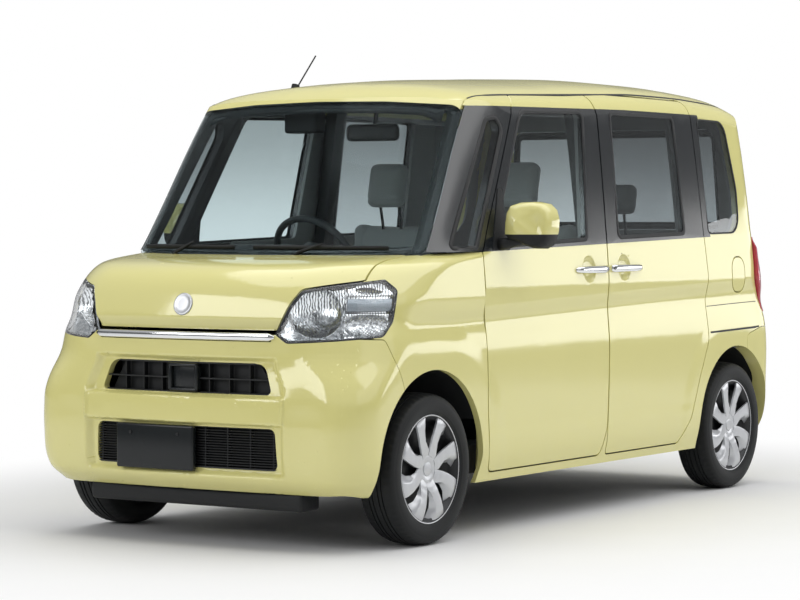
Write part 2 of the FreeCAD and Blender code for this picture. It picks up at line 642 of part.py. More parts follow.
def make_wheels():
    for end, track, y in (("front", FRONT_TRACK, 0.0), ("rear", REAR_TRACK, WHEELBASE)):
        centre = at(track / 2, y, AXLE_HEIGHT)
        half = TYRE_WIDTH / 2
        lip = RIM_WIDTH / 2
        bore = HUB_BORE
        rim_points = [(-lip, RIM_RADIUS), (-lip, FLANGE_RADIUS), (6 - lip, FLANGE_RADIUS), (8 - lip, RIM_RADIUS),
                      (lip - 8, RIM_RADIUS), (lip - 6, FLANGE_RADIUS), (lip, FLANGE_RADIUS),
                      (lip - 2, RIM_RADIUS), (lip - 8, RIM_RADIUS - RIM_WALL), (40, 140), (46, 70), (40, 45),
                      (40, bore), (20, bore), (20, 60), (30, 66), (28, 140), (lip - 30, RIM_RADIUS - RIM_WALL),
                      (-lip, RIM_RADIUS - RIM_WALL)]
        rim = revolve(rim_points, centre, SIDEWAYS)
        holes = [rod(centre + V(0, math.cos(t) * 108, math.sin(t) * 108), centre + V(90, math.cos(t) * 108,
                 math.sin(t) * 108), 20) for t in [math.pi * i / 4 for i in range(8)]]
        rim = rim.cut(holes)
        cap = rod(centre + V(40.0, 0, 0), centre + V(49.0, 0, 0), 34)
        rim = rim.fuse(cap)
        tyre_points = [(-lip + 8.3, RIM_RADIUS + 0.3), (-lip + 8.3, FLANGE_RADIUS + 0.5),
                       (-lip, FLANGE_RADIUS + 0.5), (-half + 4, 205), (-half, 226), (-half + 3, 246),
                       (-half + 11, 260), (-half + 24, 268), (-half + 42, TYRE_RADIUS - 0.8), (0, TYRE_RADIUS),
                       (half - 42, TYRE_RADIUS - 0.8), (half - 24, 268), (half - 11, 260), (half - 3, 246),
                       (half, 226), (half - 4, 205), (lip, FLANGE_RADIUS + 0.5), (lip - 8.3, FLANGE_RADIUS + 0.5),
                       (lip - 8.3, RIM_RADIUS + 0.3)]
        tyre = revolve(tyre_points, centre, SIDEWAYS)
        save("wheel_" + end + "_left", rim)
        save("wheel_" + end + "_right", mirror(rim))
        save("tyre_" + end + "_left", tyre)
        save("tyre_" + end + "_right", mirror(tyre))


STRUT_RADIUS = 20.0
STRUT_TOP = 596.0
KNUCKLE_FOOT = 192.0
STUB_RADIUS = HUB_BORE - RUNNING_GAP


def make_running_gear():
    wheel_x = FRONT_TRACK / 2
    strut = rod(kingpin(330), kingpin(STRUT_TOP), STRUT_RADIUS)
    foot = rod(kingpin(KNUCKLE_FOOT), kingpin(345), 17)
    carrier = Part.makeBox(40, 90, 150, at(566, -45, AXLE_HEIGHT - 75))
    stub = rod(at(590, 0, AXLE_HEIGHT), at(wheel_x + 38, 0, AXLE_HEIGHT), STUB_RADIUS)
    disc = rod(at(630, 0, AXLE_HEIGHT), at(640, 0, AXLE_HEIGHT), 118)
    knuckle = fuse([strut, foot, carrier, stub, disc])
    save("knuckle_left", knuckle)
    save("knuckle_right", mirror(knuckle))
    top = kingpin(STRUT_TOP + 0.5)
    spring = rod(top, kingpin(785), 52)
    mount = rod(at(kingpin(785).x, 0, 780), at(kingpin(785).x, 0, 812), 78)
    arm = box(370, 606, -25, 25, KNUCKLE_FOOT - 26, KNUCKLE_FOOT - 6)
    arm = arm.fuse(rod(kingpin(KNUCKLE_FOOT - 20), kingpin(KNUCKLE_FOOT - RUNNING_GAP), 8))
    wishbone = box(345, 405, -45, 215, KNUCKLE_FOOT - 26, KNUCKLE_FOOT - 6)
    hanger = box(350, 385, 150, 200, KNUCKLE_FOOT - 10, 250)
    leg = fuse([spring, mount])
    link = fuse([arm, wishbone, hanger])
    save("front_suspension", Part.makeCompound([leg, mirror(leg), link, mirror(link)]))

    rear_x = REAR_TRACK / 2
    hub = rod(at(500, WHEELBASE, AXLE_HEIGHT), at(rear_x + 38, WHEELBASE, AXLE_HEIGHT), STUB_RADIUS)
    drum = rod(at(560, WHEELBASE, AXLE_HEIGHT), at(606, WHEELBASE, AXLE_HEIGHT), 110)
    trail = Part.makeBox(60, 460, 60, at(470, 2020, AXLE_HEIGHT - 30))
    beam = rod(at(-500, 2330, AXLE_HEIGHT), at(500, 2330, AXLE_HEIGHT), 32)
    spring = rod(at(430, 2330, AXLE_HEIGHT), at(430, 2330, 470), 48)
    damper = rod(at(500, 2560, 280), at(500, 2560, 470), 22)
    link = Part.makeBox(40, 120, 30, at(480, 2460, AXLE_HEIGHT - 10))
    bush = rod(at(455, 2040, AXLE_HEIGHT), at(545, 2040, AXLE_HEIGHT), 36)
    bracket = Part.makeBox(90, 40, 470 - AXLE_HEIGHT, at(455, 2000, AXLE_HEIGHT))
    side = fuse([hub, drum, trail, spring, damper, link, bush, bracket])
    save("rear_axle", fuse([side, mirror(side), beam]))


def make_chassis():
    slab = box(-600, 600, 335, 1960, 240, 290)
    rocker = box(560, 667, 345, 1950, 226, 330)
    step = box(-600, 600, 1930, 1960, 240, 500)
    rear = box(-524, 524, 1930, 2790, 470, 500)
    shelf = box(500, 600, 1930, 2110, 470, 500)
    floor = fuse([slab, rocker, mirror(rocker), step, rear, shelf, mirror(shelf)]).cut(WALL)
    save("floor_pan", biggest(floor))
    toe = box(-640, 640, 320, 335, 240, 660)
    wheel_room = rod(at(388, 0, ARCH_HEIGHT), at(900, 0, ARCH_HEIGHT), FRONT_ARCH_RADIUS + 14)
    toe = toe.cut(wheel_room).cut(mirror(wheel_room))
    ledge = box(-640, 640, 104, 335, 645, 660)
    plate = box(-640, 640, 104, 116, 645, 1000)
    cowl = box(-590, 590, -56, 104, 978, 992)
    save("firewall", fuse([toe, ledge, plate, cowl]))
    rail = box(300, 390, -470, 320, 340, 430)
    beam = front_volume(PANEL_THICKNESS).cut(front_volume(PANEL_THICKNESS + 44)).common(
        box(-470, 470, -600, -380, 452, 540))
    tie = box(300, 388, -462, -440, 430, 500)
    cross = box(-300, 300, -400, -330, 340, 380)
    top = box(-420, 420, -400, -370, 690, 712)
    post = box(330, 360, -400, -370, 340, 700)
    member = box(-388, 388, 90, 260, 250, 340)
    rest = rod(at(330, -385, 700), at(330, -385, 1000), 12).common(front_volume(PANEL_THICKNESS + SEAT_GAP))
    frame = fuse([rail, mirror(rail), beam, tie, mirror(tie), cross, top, post, mirror(post), member,
                  rest, mirror(rest)])
    save("front_frame", biggest(frame))
    save("radiator", box(-300, 300, -368, -330, 380, 688))
    block = Part.makeBox(560, 340, 400, at(-280, -290, 260))
    block = block.makeChamfer(25, [e for e in block.Edges if abs(e.BoundBox.ZLength) > 100])
    holder = box(270, 300, -150, -50, 350, 420)
    save("engine", fuse([block, holder, mirror(holder)]))
    save("fuel_tank", box(-330, 330, 800, 1350, 165, 240))
    front_liner = tube(at(402, 0, ARCH_HEIGHT), at(706, 0, ARCH_HEIGHT), FRONT_ARCH_RADIUS + 12, FRONT_ARCH_RADIUS + 6)
    front_wall = rod(at(390, 0, ARCH_HEIGHT), at(402, 0, ARCH_HEIGHT), FRONT_ARCH_RADIUS + 12)
    front_house = fuse([front_liner, front_wall]).cut(box(300, 900, -500, 500, -200, 300))
    front_house = front_house.cut(box(300, 500, -160, 160, 0, 440))
    tower_x = kingpin(750).x
    tower = tube(at(tower_x, 0, 600), at(tower_x, 0, 824), 98, 92)
    tower = tower.fuse(rod(at(tower_x, 0, 812), at(tower_x, 0, 824), 98))
    tower = tower.cut(rod(at(300, 0, ARCH_HEIGHT), at(900, 0, ARCH_HEIGHT), FRONT_ARCH_RADIUS + 6))
    front_house = front_house.fuse(tower).cut(rod(at(tower_x, 0, 500), at(tower_x, 0, 812), 92))
    front_house = front_house.common(front_volume(PANEL_THICKNESS + SEAT_GAP))
    front_house = front_house.cut(box(300, 900, 318, 500, 0, 900)).cut(FRONT_SHELL)
    radius = REAR_ARCH_RADIUS
    rear_liner = tube(at(536, WHEELBASE, ARCH_HEIGHT), at(720, WHEELBASE, ARCH_HEIGHT), radius + 12, radius + 6)
    rear_wall = rod(at(524, WHEELBASE, ARCH_HEIGHT), at(536, WHEELBASE, ARCH_HEIGHT), radius + 12)
    rear_house = fuse([rear_liner, rear_wall]).cut(box(300, 900, 1900, 3000, -200, 380)).cut(WALL)
    rear_house = rear_house.common(plan_loft(SCREEN, 22, 195, 1790, 0))
    rear_house = rear_house.cut(box(500, 900, 1900, 2111, 0, 501))
    save("wheelhouses", Part.makeCompound([biggest(front_house), mirror(biggest(front_house)),
                                           biggest(rear_house), mirror(biggest(rear_house))]))
    route = [at(-180, 20, 260), at(-180, 20, 206), at(-180, 600, 206), at(-390, 780, 206),
             at(-390, 1990, 206), at(-300, 2230, 385), at(-300, 2490, 385)]
    pipe = [rod(route[i], route[i + 1], 18) for i in range(len(route) - 1)]
    elbows = [Part.makeSphere(18, point) for point in route[1:-1]]
    silencer = box(-420, 60, 2480, 2660, 300, 450)
    tip = rod(at(-380, 2650, 340), at(-380, 2780, 330), 20)
    hanger = box(-200, -160, 2560, 2590, 445, 470)
    save("exhaust", fuse(pipe + elbows + [silencer, tip, hanger]))


def rounded_box(x0, x1, y0, y1, z0, z1, radius):
    solid = box(x0, x1, y0, y1, z0, z1)
    return solid.makeFillet(radius, solid.Edges)


def tilted(shape, degrees, y, z):
    turned = shape.copy()
    turned.rotate(at(0, y, z), SIDEWAYS, degrees)
    return turned


SEAT_X = 315.0
WHEEL_CENTRE = at(-330, 800, 1016)
COLUMN_TILT = 32.0
COLUMN_AXIS = V(0, math.cos(math.radians(COLUMN_TILT)), math.sin(math.radians(COLUMN_TILT)))


def make_inside():
    inner = cabin_volume(DOOR_THICKNESS + 12, ROOF_THICKNESS + 12)
    board = side_prism([(90, 860, 0), (150, 1004, 60), (330, 1040, 80), (500, 1010, 60), (540, 900, 60),
                        (470, 760, 40), (380, 640, 20), (340, 640, 0), (340, 860, 0)], -640, 640)
    binnacle = box(-470, -180, 380, 500, 990, 1062)
    board = board.fuse(binnacle).common(inner).cut(box(-900, 900, -100, 345, 0, 862))
    board = board.cut(box(-900, 900, -100, 116 + SEAT_GAP, 0, 1100))
    column = rod(WHEEL_CENTRE - COLUMN_AXIS * 40.4, WHEEL_CENTRE - COLUMN_AXIS * 420, 34)
    board = biggest(board.cut(LOW_WALL))
    save("dashboard", board)
    save("steering_column", biggest(column.cut(board)))
    seats = []
    for side in (-1, 1):
        x = side * SEAT_X
        cushion = rounded_box(x - 250, x + 250, 930, 1420, 560, 690, 40)
        base = box(x - 200, x + 200, 980, 1380, 290, 575)
        back = tilted(rounded_box(x - 240, x + 240, 1370, 1480, 640, 1215, 40), -14, 1400, 640)
        head = tilted(rounded_box(x - 130, x + 130, 1380, 1470, 1235, 1400, 35), -12, 1400, 640)
        stems = tilted(rod(at(x, 1425, 1190), at(x, 1425, 1260), 14), -12, 1400, 640)
        seats.append(fuse([cushion, base, back, stems, head]))
    save("front_seats", Part.makeCompound(seats))
    rear = []
    for side in (-1, 1):
        x = side * 262
        cushion = rounded_box(x - 252, x + 252, 1880, 2330, 560, 690, 40)
        base = box(x - 220, x + 220, 1975, 2300, 500, 575)
        back = tilted(rounded_box(x - 252, x + 252, 2290, 2390, 640, 1170, 40), -14, 2320, 640)
        head = tilted(rounded_box(x - 120, x + 120, 2300, 2380, 1185, 1330, 32), -12, 2320, 640)
        stems = tilted(rod(at(x, 2340, 1150), at(x, 2340, 1210), 14), -12, 2320, 640)
        rear.append(fuse([cushion, base, back, stems, head]))
    save("rear_seats", Part.makeCompound(rear))
    post = cabin_shell(DOOR_THICKNESS + SEAT_GAP, 112).common(box(300, 900, 1268, 1345, 330, 1760)).common(
        cabin_volume(60, ROOF_THICKNESS))
    post = biggest(post)
    save("centre_pillars", pair(post))


def make_controls():
    tilt = math.radians(COLUMN_TILT)
    axis = COLUMN_AXIS
    rim = Part.makeTorus(174, 14, WHEEL_CENTRE, axis)
    hub = rod(WHEEL_CENTRE - axis * 40, WHEEL_CENTRE + axis * 6, 62)
    spokes = []
    across = V(1, 0, 0)
    upward = V(0, -math.sin(tilt), math.cos(tilt))
    for angle in (0, 180, 270):
        out = across * math.cos(math.radians(angle)) + upward * math.sin(math.radians(angle))
        spokes.append(rod(WHEEL_CENTRE - axis * 16, WHEEL_CENTRE + out * 168, 13))
    save("steering_wheel", fuse([rim, hub] + spokes))
    cap = rounded_box(742, 905, 512, 600, 1090, 1226, 34)
    arm = box(722, 760, 515, 560, 1085, 1125)
    foot = side_prism([(446, 1062, 6), (560, 1072, 6), (560, 1150, 20), (500, 1150, 10)], 700, 730)
    foot = foot.cut(CABIN)
    side = fuse([cap, arm, foot])
    door_mirror = biggest(side.cut(CABIN))
    save("mirror_left", door_mirror)
    save("mirror_right", mirror(door_mirror))
    base = at(-300, 610, 1660)
    mast = rod(base, at(-300, 760, 1812), 3.0)
    foot = rod(base, base + V(0, 12, 30), 16)
    antenna = fuse([mast, foot]).cut(CABIN)
    save("antenna", biggest(antenna))


if __name__ == "__main__":
    os.makedirs("parts", exist_ok=True)
    make_wheels()
    make_running_gear()
    make_chassis()
    make_inside()
    make_controls()
    make_front_panels()
    make_sides()
    make_roof_and_back()
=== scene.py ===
import json
import math

import bmesh
import bpy
from mathutils import Matrix, Vector
from mathutils.bvhtree import BVHTree


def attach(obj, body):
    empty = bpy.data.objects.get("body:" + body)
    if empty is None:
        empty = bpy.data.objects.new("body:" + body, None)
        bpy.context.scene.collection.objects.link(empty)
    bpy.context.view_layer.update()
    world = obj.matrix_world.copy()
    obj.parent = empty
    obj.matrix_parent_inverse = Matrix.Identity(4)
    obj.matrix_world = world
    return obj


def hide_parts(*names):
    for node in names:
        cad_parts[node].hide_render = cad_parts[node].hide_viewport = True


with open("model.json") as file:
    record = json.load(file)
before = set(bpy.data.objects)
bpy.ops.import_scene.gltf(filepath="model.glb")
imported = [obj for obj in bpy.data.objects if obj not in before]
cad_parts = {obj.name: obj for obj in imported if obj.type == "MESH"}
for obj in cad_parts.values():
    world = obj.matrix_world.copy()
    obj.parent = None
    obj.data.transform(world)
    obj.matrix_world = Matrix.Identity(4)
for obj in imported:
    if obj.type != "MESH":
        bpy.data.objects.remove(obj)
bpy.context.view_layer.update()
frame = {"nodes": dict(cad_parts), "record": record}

scene = bpy.context.scene
frontAxle = -1.1575
wheelBase = 2.455
axleHeight = 0.272
xAxis = Vector((1, 0, 0))
yAxis = Vector((0, 1, 0))
zAxis = Vector((0, 0, 1))


# A point in metres from millimetres, with y counted from the front axle
def at(x, y, z):
    return Vector((x / 1000, frontAxle + y / 1000, z / 1000))


# Node helpers
# A value in a node tree, so that plain operators build its math nodes
class signal:
    def __init__(self, socket):
        self.socket = socket

    def __add__(self, other):
        return calc("ADD", self, other)

    def __sub__(self, other):
        return calc("SUBTRACT", self, other)

    def __rsub__(self, other):
        return calc("SUBTRACT", other, self)

    def __mul__(self, other):
        return calc("MULTIPLY", self, other)

    def __gt__(self, other):
        return calc("GREATER_THAN", self, other)

    def __lt__(self, other):
        return calc("LESS_THAN", self, other)

    def __abs__(self):
        return calc("ABSOLUTE", self)


def feed(socket, value):
    value = getattr(value, "socket", value)
    if hasattr(value, "is_linked"):
        socket.id_data.links.new(value, socket)
    else:
        socket.default_value = value


def addNode(tree, kind, inputs=(), **settings):
    node = tree.nodes.new(kind)
    for key, value in settings.items():
        setattr(node, key, value)
    for key, value in dict(inputs).items():
        feed(node.inputs[key], value)
    return node


def calc(operation, *values):
    tree = [value for value in values if isinstance(value, signal)][0].socket.id_data
    node = addNode(tree, "ShaderNodeMath", dict(enumerate(values)), operation=operation)
    return signal(node.outputs[0])


def ramp(value, low, high):
    inputs = {"Value": value, "From Min": low, "From Max": high}
    node = addNode(value.socket.id_data, "ShaderNodeMapRange", inputs, interpolation_type="SMOOTHSTEP")
    return signal(node.outputs["Result"])


def blendColour(factor, first, second):
    inputs = {0: factor, 6: first, 7: second}
    return addNode(factor.socket.id_data, "ShaderNodeMix", inputs, data_type="RGBA").outputs[2]


def rgba(red, green, blue):
    return (red, green, blue, 1.0)


def placeOf(tree, kind="Object"):
    spot = addNode(tree, "ShaderNodeTexCoord").outputs[kind]
    return [signal(part) for part in addNode(tree, "ShaderNodeSeparateXYZ", {"Vector": spot}).outputs]


def texture(tree, kind, output, settings=(), **inputs):
    spot = addNode(tree, "ShaderNodeTexCoord").outputs["Object"]
    node = addNode(tree, "ShaderNodeTex" + kind, {"Vector": spot, **inputs}, **dict(settings))
    return signal(node.outputs[output])


def groupOutputs(tree, source, **inputs):
    return {socket.name: signal(socket)
            for socket in addNode(tree, "ShaderNodeGroup", inputs, node_tree=source).outputs}


def makeGroup(name, inputs, outputs):
    tree = bpy.data.node_groups.new(name, "ShaderNodeTree")
    for direction, labels in (("INPUT", inputs), ("OUTPUT", outputs)):
        for label in labels:
            kind = "NodeSocketColor" if label == "Color" else "NodeSocketFloat"
            tree.interface.new_socket(label, in_out=direction, socket_type=kind)
    return tree, tree.nodes.new("NodeGroupInput").outputs, tree.nodes.new("NodeGroupOutput").inputs


# Mixes two shaders by a factor and hands them to the tree's output
def mixShaders(tree, factor, first, second):
    both = addNode(tree, "ShaderNodeMixShader", {0: factor, 1: first.outputs[0], 2: second.outputs[0]})
    output = [node for node in tree.nodes if node.type.startswith("OUTPUT")][0]
    feed(output.inputs["Surface"], both.outputs[0])


print("materials")

# Shared effects
# Fine uneven colour, roughness and height
unevenTree, given, made = makeGroup("uneven", ("Color", "Roughness", "Scale", "Tint", "Spread"),
                                    ("Color", "Roughness", "Height"))
broad = texture(unevenTree, "Noise", "Fac", Scale=2.2, Detail=4.0)
fine = texture(unevenTree, "Noise", "Fac", Scale=given["Scale"], Detail=3.0)
shift = (broad - 0.5) + (fine - 0.5)
bright = shift * given["Tint"] + 1.0
tinted = addNode(unevenTree, "ShaderNodeHueSaturation", {"Color": given["Color"], "Value": bright})
feed(made["Color"], tinted.outputs["Color"])
feed(made["Roughness"], calc("MAXIMUM", shift * given["Spread"] + given["Roughness"], 0.02))
feed(made["Height"], fine)

# Moulded grain of small rounded cells
grainTree, given, made = makeGroup("grain", ("Scale",), ("Height",))
feed(made["Height"], ramp(texture(grainTree, "Voronoi", "Distance", Scale=given["Scale"]), 0.1, 0.8))

# Woven cloth from crossed waves
weaveTree, given, made = makeGroup("weave", ("Scale",), ("Height",))
waves = []
for axis in ("X", "Y", "Z"):
    waves.append(texture(weaveTree, "Wave", "Fac", {"bands_direction": axis}, Scale=given["Scale"],
                         Distortion=0.6, Detail=1.0))
feed(made["Height"], waves[0] * calc("MAXIMUM", waves[1], waves[2]))

# Masks for the black window surround and for the inner lining of the cabin sides
zoneTree, given, made = makeGroup("cabinZones", (), ("Trim", "Lining"))
x, y, z = placeOf(zoneTree)
along = y - frontAxle
belt = along * 0.0235 + 1.034
top = calc("MINIMUM", along * 0.018 + 1.576, 1.604)
feed(made["Trim"], (z > belt) * (z < top) * (along < 2.236))
inner = 0.692 - calc("MAXIMUM", z - 1.05, 0.0) * 0.1168
feed(made["Lining"], (abs(x) < inner) * (along > 0.70) * (z < 1.58) * (along < 2.60))

# Height of the pressed lines along the body side, in metres
pressTree, given, made = makeGroup("pressLines", (), ("Height",))
x, y, z = placeOf(pressTree)
along = y - frontAxle
level = along * -0.030 + z
waistDepth = ramp(along, 0.62, 0.30) * -0.0030 + 0.0052
swell = ramp(level, 0.770, 0.835) * 0.010 + ramp(level, 0.775, 0.670) * waistDepth
swell = (swell + ramp(z, 0.400, 0.345) * 0.0016) * ramp(along, -0.32, 0.10)
rise = z - axleHeight
for wheel, height in ((0.0, 0.0042), (wheelBase, 0.0034)):
    reach = along - wheel
    swell = swell + ramp(calc("SQRT", reach * reach + rise * rise), 0.530, 0.440) * height
feed(made["Height"], swell * (abs(x) > 0.655))

# Painted reflection for the metal of the lamp's reflectors, as a mask of light and dark flutes and facets
lampTurn = math.radians(40)
paintedFluteReflectionTree, given, made = makeGroup("flutes", (), ("Fac",))
x, y, z = placeOf(paintedFluteReflectionTree)
along = (y - frontAxle) * math.sin(lampTurn) + abs(x) * math.cos(lampTurn)
phase = along * 640.0 + texture(paintedFluteReflectionTree, "Noise", "Fac", Scale=60.0, Detail=2.0) * 9.0
wave = calc("SINE", phase) * 0.5 + 0.5
facets = addNode(paintedFluteReflectionTree, "ShaderNodeSeparateColor",
                 {"Color": texture(paintedFluteReflectionTree, "Voronoi", "Color", Scale=130.0)})
low = ramp(z, 0.842, 0.812)
facet = signal(facets.outputs["Red"]) * (ramp(along, 0.205, 0.225) * 0.45 + 0.35)
feed(made["Fac"], facet * low + ramp(wave, 0.12, 0.62) * (1.0 - low))


def makeMaterial(name, color, roughness, scale=60.0, tint=0.04, spread=0.06, relief=0.0002, grain=0.0,
                 strength=0.5, **sockets):
    material = bpy.data.materials.new(name)
    material.use_nodes = True
    tree = material.node_tree
    inputs = tree.nodes["Principled BSDF"].inputs
    for key, value in sockets.items():
        inputs[key.replace("_", " ")].default_value = value
    uneven = groupOutputs(tree, unevenTree, Color=rgba(*color), Roughness=roughness, Scale=scale, Tint=tint,
                          Spread=spread)
    height = groupOutputs(tree, grainTree, Scale=grain)["Height"] if grain else uneven["Height"]
    bump = addNode(tree, "ShaderNodeBump", {"Height": height, "Distance": relief, "Strength": strength})
    feed(inputs["Base Color"], uneven["Color"])
    feed(inputs["Roughness"], uneven["Roughness"])
    feed(inputs["Normal"], bump.outputs["Normal"])
    return material


# The tree, the shader's inputs, and what feeds its colour, roughness and normal
def partsOf(material):
    inputs = material.node_tree.nodes["Principled BSDF"].inputs
    fed = [signal(inputs[label].links[0].from_socket) for label in ("Base Color", "Roughness", "Normal")]
    return [material.node_tree, inputs] + fed


paintColour = (0.685, 0.64, 0.25)
settingsPaint = {"roughness": 0.10, "scale": 900.0, "tint": 0.03, "spread": 0.02, "relief": 0.000003,
                 "IOR": 1.8}


def sidePaint(name):
    material = makeMaterial(name, paintColour, **settingsPaint)
    tree, inputs, colour, roughness, normal = partsOf(material)
    lines = groupOutputs(tree, pressTree)["Height"]
    relief = {"Height": lines, "Distance": 1.0, "Strength": 1.0, "Normal": normal}
    pressed = addNode(tree, "ShaderNodeBump", relief)
    feed(inputs["Normal"], pressed.outputs["Normal"])
    masks = groupOutputs(tree, zoneTree)
    black = blendColour(masks["Trim"], colour, rgba(0.010, 0.012, 0.014))
    feed(inputs["Base Color"], blendColour(masks["Lining"], black, rgba(0.26, 0.265, 0.26)))
    feed(inputs["Roughness"], masks["Lining"] * 0.5 + roughness + masks["Trim"] * 0.10)
    return material


# Paint with a grey lining on the faces that look down or forward
def linedPaint(name, axis):
    material = makeMaterial(name, paintColour, **settingsPaint)
    tree, inputs, colour, roughness, normal = partsOf(material)
    mask = placeOf(tree, "Normal")[axis] * -1.0 > 0.35
    feed(inputs["Base Color"], blendColour(mask, colour, rgba(0.30, 0.30, 0.29)))
    feed(inputs["Roughness"], mask * 0.5 + roughness)
    return material


paint = makeMaterial("paint", paintColour, **settingsPaint)
paintSide = sidePaint("paintSide")
paintRoof = linedPaint("paintRoof", 2)
paintGate = linedPaint("paintGate", 1)
blackTrim = makeMaterial("blackTrim", (0.010, 0.012, 0.013), 0.20, scale=300.0, Specular_IOR_Level=0.35)
blackPlastic = makeMaterial("blackPlastic", (0.012, 0.013, 0.014), 0.52, grain=900.0, relief=0.0003,
                            Specular_IOR_Level=0.3)
rubber = makeMaterial("rubber", (0.016, 0.017, 0.018), 0.62, scale=400.0)
chrome = makeMaterial("chrome", (0.78, 0.79, 0.80), 0.07, scale=200.0, tint=0.05, spread=0.05, Metallic=1.0)
satin = makeMaterial("satin", (0.62, 0.63, 0.64), 0.27, scale=300.0, Metallic=1.0)
silver = makeMaterial("silver", (0.50, 0.51, 0.53), 0.30, scale=1500.0, tint=0.10, Metallic=0.65,
                      Coat_Weight=0.5)
darkSteel = makeMaterial("darkSteel", (0.030, 0.031, 0.033), 0.45, scale=120.0, Metallic=0.4)
underbody = makeMaterial("underbody", (0.018, 0.018, 0.019), 0.62, scale=40.0, tint=0.2, relief=0.001)
aluminium = makeMaterial("aluminium", (0.33, 0.33, 0.34), 0.42, scale=90.0, Metallic=1.0)
tyreRubber = makeMaterial("tyreRubber", (0.0070, 0.0080, 0.0085), 0.62, scale=260.0, tint=0.25, spread=0.15,
                          relief=0.0004, Specular_IOR_Level=0.34)
dashPlastic = makeMaterial("dashPlastic", (0.032, 0.034, 0.036), 0.55, grain=700.0, relief=0.0004)
plateWhite = makeMaterial("plateWhite", (0.72, 0.73, 0.72), 0.35, scale=200.0)
mirrorGlass = makeMaterial("mirrorGlass", (0.80, 0.83, 0.85), 0.03, scale=20.0, spread=0.02, Metallic=1.0)
tailRed = makeMaterial("tailRed", (0.62, 0.045, 0.085), 0.12, scale=90.0, tint=0.3, Coat_Weight=1.0,
                       Transmission_Weight=0.25)
lampBand = makeMaterial("lampBand", (0.16, 0.19, 0.215), 0.22, scale=120.0, Metallic=0.6, Coat_Weight=1.0)
lampChrome = makeMaterial("lampChrome", (0.88, 0.90, 0.91), 0.10, scale=150.0, tint=0.04, Metallic=1.0)
reflectorMetal = makeMaterial("reflectorMetal", (0.90, 0.92, 0.93), 0.12, scale=150.0, tint=0.04,
                              Metallic=1.0)
tree, inputs, colour, roughness, normal = partsOf(reflectorMetal)
flutes = groupOutputs(tree, paintedFluteReflectionTree)["Fac"]
# Painted reflection: the reflector's colour turns dark between the bright flutes and facets
feed(inputs["Base Color"], blendColour(flutes, rgba(0.12, 0.135, 0.145), colour))


# A glass pane. Its tint is painted darker towards the top by the factor given last: painted shade
def makeGlass(name, color, ior, paintedTopShade=1.0):
    material = makeMaterial(name, color, 0.0, scale=1.6, tint=0.06, Transmission_Weight=1.0, IOR=ior)
    tree, inputs, colour, roughness, normal = partsOf(material)
    tree.nodes.remove(normal.socket.node)
    tree.links.remove(inputs["Roughness"].links[0])
    inputs["Roughness"].default_value = 0.0
    # Painted shade: the tint darkens from 1.05 m up to 1.60 m
    rise = ramp(placeOf(tree)[2], 1.05, 1.60)
    tinted = blendColour(rise, colour, rgba(*[value * paintedTopShade for value in color]))
    feed(inputs["Base Color"], tinted)
    clear = addNode(tree, "ShaderNodeBsdfTransparent", {"Color": tinted})
    shadow = addNode(tree, "ShaderNodeLightPath").outputs["Is Shadow Ray"]
    mixShaders(tree, shadow, tree.nodes["Principled BSDF"], clear)
    return material


# The last value of each pane is the painted shade at its top
clearGlass = makeGlass("clearGlass", (0.78, 0.85, 0.86), 1.22, 0.66)
screenGlass = makeGlass("screenGlass", (0.74, 0.83, 0.845), 1.12, 0.72)
privacyGlass = makeGlass("privacyGlass", (0.50, 0.54, 0.555), 1.36, 0.52)
lensClear = makeGlass("lensClear", (0.97, 0.98, 0.99), 1.4)

seatCloth = makeMaterial("seatCloth", (0.34, 0.35, 0.345), 0.85, scale=500.0, tint=0.12, Sheen_Weight=0.35)
tree, inputs, colour, roughness, normal = partsOf(seatCloth)
weave = groupOutputs(tree, weaveTree, Scale=160.0)["Height"]
woven = addNode(tree, "ShaderNodeHueSaturation", {"Color": colour, "Value": weave * 0.3 + 0.82})
feed(inputs["Base Color"], woven.outputs["Color"])
bump = addNode(tree, "ShaderNodeBump", {"Height": weave, "Distance": 0.0008, "Strength": 0.6})
feed(inputs["Normal"], bump.outputs["Normal"])

slotMaterials = {
    "paint": paint, "glass": clearGlass, "privacy_glass": privacyGlass, "black_trim": blackTrim,
    "black_plastic": blackPlastic, "bright_bar": chrome, "lamp": lensClear, "tail_lamp": tailRed,
    "cast_steel": darkSteel, "underbody": underbody, "aluminium": aluminium, "wheel_cover": silver,
    "tyre": tyreRubber, "seat_cloth": seatCloth, "dash": dashPlastic}
nodeMaterials = {"roof_panel": paintRoof, "tailgate": paintGate,
                 "centre_pillars": blackTrim, "windscreen": screenGlass}
for name in ("side_frame", "front_door", "slide_door", "fender"):
    for side in ("_left", "_right"):
        nodeMaterials[name + side] = paintSide
slotOf = {part["node"]: part["material_slot"] for part in frame["record"]["subparts"]}
for name, obj in frame["nodes"].items():
    obj.data.materials.clear()
    obj.data.materials.append(nodeMaterials.get(name, slotMaterials[slotOf[name]]))


# Mesh helpers
def addPiece(name, mesh, material, body, slot, nodes=(), smooth=True, bevel=(), wall=0.0):
    obj = bpy.data.objects.new(name, mesh)
    scene.collection.objects.link(obj)
    mesh.materials.clear()
    mesh.materials.append(material)
    if smooth:
        mesh.shade_smooth()
    if bevel:
        width, segments, angle = bevel
        modifier = obj.modifiers.new("bevel", "BEVEL")
        modifier.width = width
        modifier.segments = segments
        modifier.limit_method = "ANGLE"
        modifier.angle_limit = math.radians(angle)
        modifier.harden_normals = True
    if wall:
        modifier = obj.modifiers.new("wall", "SOLIDIFY")
        modifier.thickness = wall
        modifier.offset = -1
    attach(obj, body)
    if nodes:
        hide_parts(*nodes)
    return obj


